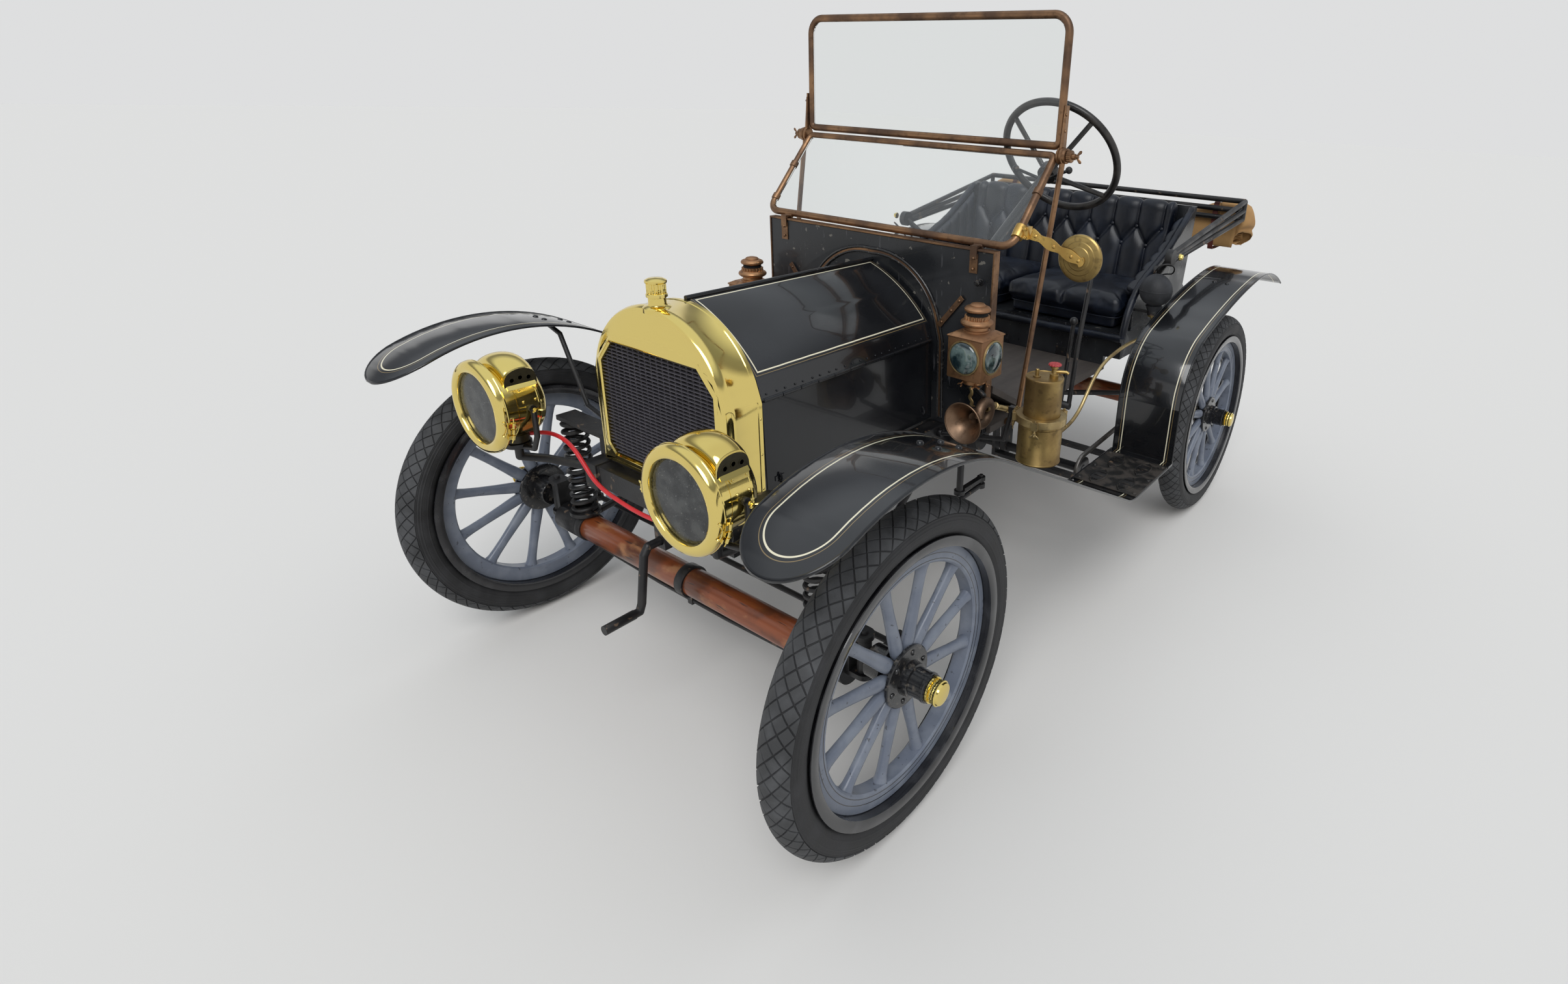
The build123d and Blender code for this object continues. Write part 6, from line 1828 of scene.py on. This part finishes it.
# %% Canvas
def canvas_section():
    """The cloth's own line from its inner end to its hem, as (y, z)."""
    line = []
    for layer in range(11):
        z = 1.030 + layer * 0.0125
        near, far = (2.470, 2.566 - 0.006 * (layer % 3)) if layer < 8 else (2.474, 2.560)
        flat = [(near, z), ((near + far) / 2, z + 0.002 * sin(2.1 * layer)), (far, z)]
        if layer % 2:
            flat.reverse()
        end_y, end_z = flat[-1]
        line += flat + [(end_y + (-0.006 if layer % 2 else 0.006), end_z + 0.00625)]
    line += mm("2463 1172, 2459 1130, 2457 1080, 2458.5 1035, 2465 1014.5")
    line += mm("2455.5 1020, 2452.5 1060, 2453 1120, 2456 1165, 2470 1188, 2500 1197.5, 2535 1196, "
               "2561 1185, 2577 1164, 2584 1135, 2582 1105, 2572 1083, 2567 1066, 2573 1048, 2583 1030, "
               "2587 1016.5, 2583 1009.5, 2576 1012.5")
    return line


def thicken(made, metres):
    cloth = made.modifiers.new("thickness", "SOLIDIFY")
    cloth.thickness = metres
    cloth.offset = 0


canvas_line = smooth_line([(y, z, 0) for y, z in canvas_section()], 3)
canvas_width = 1.18
half_bundle = 0.592
bundle_middle = Vector((2.522, 1.103, 0))
bundle = Shape()
rows = []
for step in range(81):
    share = step / 40 - 1
    between_straps = 1 - clamp((abs(share) - 0.60) / 0.24)
    drop = 0.006 + 0.046 * between_straps * between_straps * (3 - 2 * between_straps)
    row = []
    for index, point in enumerate(canvas_line):
        t = index / len(canvas_line)
        outer = clamp((t - 0.80) * 12)  # 0 in the inner folds, 1 in the last turn
        x = share * (half_bundle + 0.009 * (1 - outer) * sin(31 * t + (2 if share > 0 else 5))
                     + 0.007 * outer * sin(9 * t))
        wander = 0.0022 * sin(5.0 * x + 1.1) + 0.0010 * sin(13 * x + 5 * t)
        dent = 1.2 * abs(0.0016 * sin(6 * x + 26 * t) * outer)
        sag = drop * max(0.0, (point.y - 1.03) / 0.17)
        inward = (point - bundle_middle).normalized() * (1 if outer else 0.3)
        row.append(at(x, point.x + (wander - dent) * inward.x,
                      point.y - sag + (wander * 0.4 - dent) * inward.y))
    rows.append(row)
bundle.loft(rows, closed=False, ends=False)
folded_top = piece("folded_canvas", bundle, [tan_canvas], crease=75, stands_for=["top_bundle"])
thicken(folded_top, 0.0014)
canvas_length = sum(face.area for face in folded_top.data.polygons) / canvas_width
print("canvas length", round(canvas_length, 3), "m")

# %% [markdown]
# At each end the top's side quarter is wrapped round the roll, and what is left of it droops as an open
# mouth with a turned hem. It is lofted along a line that bends down, from the roll's rounded section to a
# narrower and wavier one.

# %% Canvas ends
quarter_height = 0.20
quarter_line = smooth_line(mm("518 1105 0, 560 1105 0, 582 1090 0, 600 1058 0, 622 1034 0"), 5)


def canvas_end(side, name):
    quarter = Shape()
    rows = []
    last = len(quarter_line) - 1
    for index, point in enumerate(quarter_line):
        t = index / last
        ahead = (quarter_line[min(index + 1, last)] - quarter_line[max(index - 1, 0)]).normalized()
        up = Vector((-ahead.y, ahead.x))
        narrow = max(0.0, (t - 0.35) / 0.65)
        deep, tall = 0.0700 - 0.016 * narrow, 0.0965 - 0.062 * narrow ** 0.8
        hem = 0.004 * max(0.0, 1 - abs(t - 0.93) / 0.07)
        row = []
        for angle in turns(56):
            fold = 1 + narrow * (0.035 * sin(5 * angle + 1.0) + 0.030 * sin(9 * angle + side))
            wide = squarish(cos(angle), 0.62) * (deep + hem) * fold
            high = squarish(sin(angle), 0.62) * (tall + hem) * fold
            cut_back = 0.042 * narrow * (0.5 - wide / deep / 2)
            row.append(at(side * (point.x + up.x * high - ahead.x * cut_back), 2.5205 + wide,
                          point.y + up.y * high - ahead.y * cut_back))
        rows.append(row)
    quarter.loft(rows, ends=False)
    end = piece(name, quarter, [tan_canvas], crease=75)
    thicken(end, 0.0022)
    area = sum(face.area for face in end.data.polygons)
    round(area / quarter_height, 3)


for side, hand in hands:
    canvas_end(side, f"canvas_end_{hand}")

# %% [markdown]
# A brown leather strap goes round each end of the bundle. It is a flat band that follows the canvas's own
# section, with a wire buckle at the back.

# %% Strap round the folded top
straps = Shape()
for x in (0.500, -0.500):
    strap_line = smooth_line([at(x, y, z) for y, z in mm("2447 1010, 2446.5 1100, 2449 1180, "
                                                         "2466 1201.5, 2500 1206, 2545 1202, 2576 1178, "
                                                         "2588.2 1138, 2587.2 1090, 2588.5 1035, "
                                                         "2578 1003, 2520 998.5, 2465 999")], 4, loop=True)
    rows = []
    for before, point, after in zip(strap_line[-1:] + strap_line, strap_line, strap_line[1:] + strap_line):
        out = Vector((1, 0, 0)).cross((after - before).normalized())
        rows.append([point + Vector((wide, 0, 0)) + out * thick for wide, thick in rectangle(0.011, 0.0012)])
    straps.loft(rows, loop=True)
    buckle = facing(at(x, 2.5882, 1.120), (0, 1, 0.02))
    straps.tube([buckle @ Vector((a, b, 0.002)) for a, b in rectangle(0.015, 0.012)], 0.0014, 8, loop=True)
piece("top_straps", straps, [strap_hide], crease=40)

# %% [markdown]
# ## Small fittings
#
# A few small things stand out against the black paint: the riveted stay by the side lamp, the choke knob on
# the dash, the brass thumb nut that lets the folded top go, and the loose wire loop beside it.

# %% Stays and knob
stays = Shape()
for side in (1, -1):
    low, high = places("266 744 962, 334 744 1046", side)
    stay, length = strip_place(low, high), (high - low).length
    middle = Matrix.Translation((length / 2, 0, 0))
    stays.plate(rectangle(length / 2 + 0.008, 0.008), 0.0035, stay @ middle)
    for share in (0.08, 0.55, 0.94):
        stays.bolt(stay @ Matrix.Translation((length * share, 0, 0.0035)), 0.0048, 0.0035)
stays.tone = 1
knob = facing(at(0.392, 0.7485, 1.104), to_front)
stays.turned(mm("0.1 0, 10.5 0, 10.5 2, 4.5 3, 4.5 12, 8.5 14, 9.5 18, 8 22, 0.1 23.5"), knob, 28)
piece("dash_stays", stays, [tube_brass, hub_black], edge=0.0004, crease=35)

# %% Thumb nuts and wire loops
nuts, wires = Shape(), Shape()
for side in (1, -1):
    nuts.turned(mm("0.1 -4, 12 -4, 12.5 0, 10 3, 9 8, 0.1 9.5"), outward(side, 0.634, 1.682, 1.083), 40,
                flutes=10, depth=0.0008)
    wire = places("548 1660 985, 560 1640 1020, 585 1628 1052, 612 1640 1060, 622 1668 1045, "
                  "610 1690 1020, 580 1700 1012, 552 1690 1000", side)
    wires.tube(smooth_line(wire, 5), 0.0028, 8)
piece("top_thumb_nuts", nuts, [bright_brass], crease=35)
piece("top_wire_loops", wires, [black_iron], crease=70)
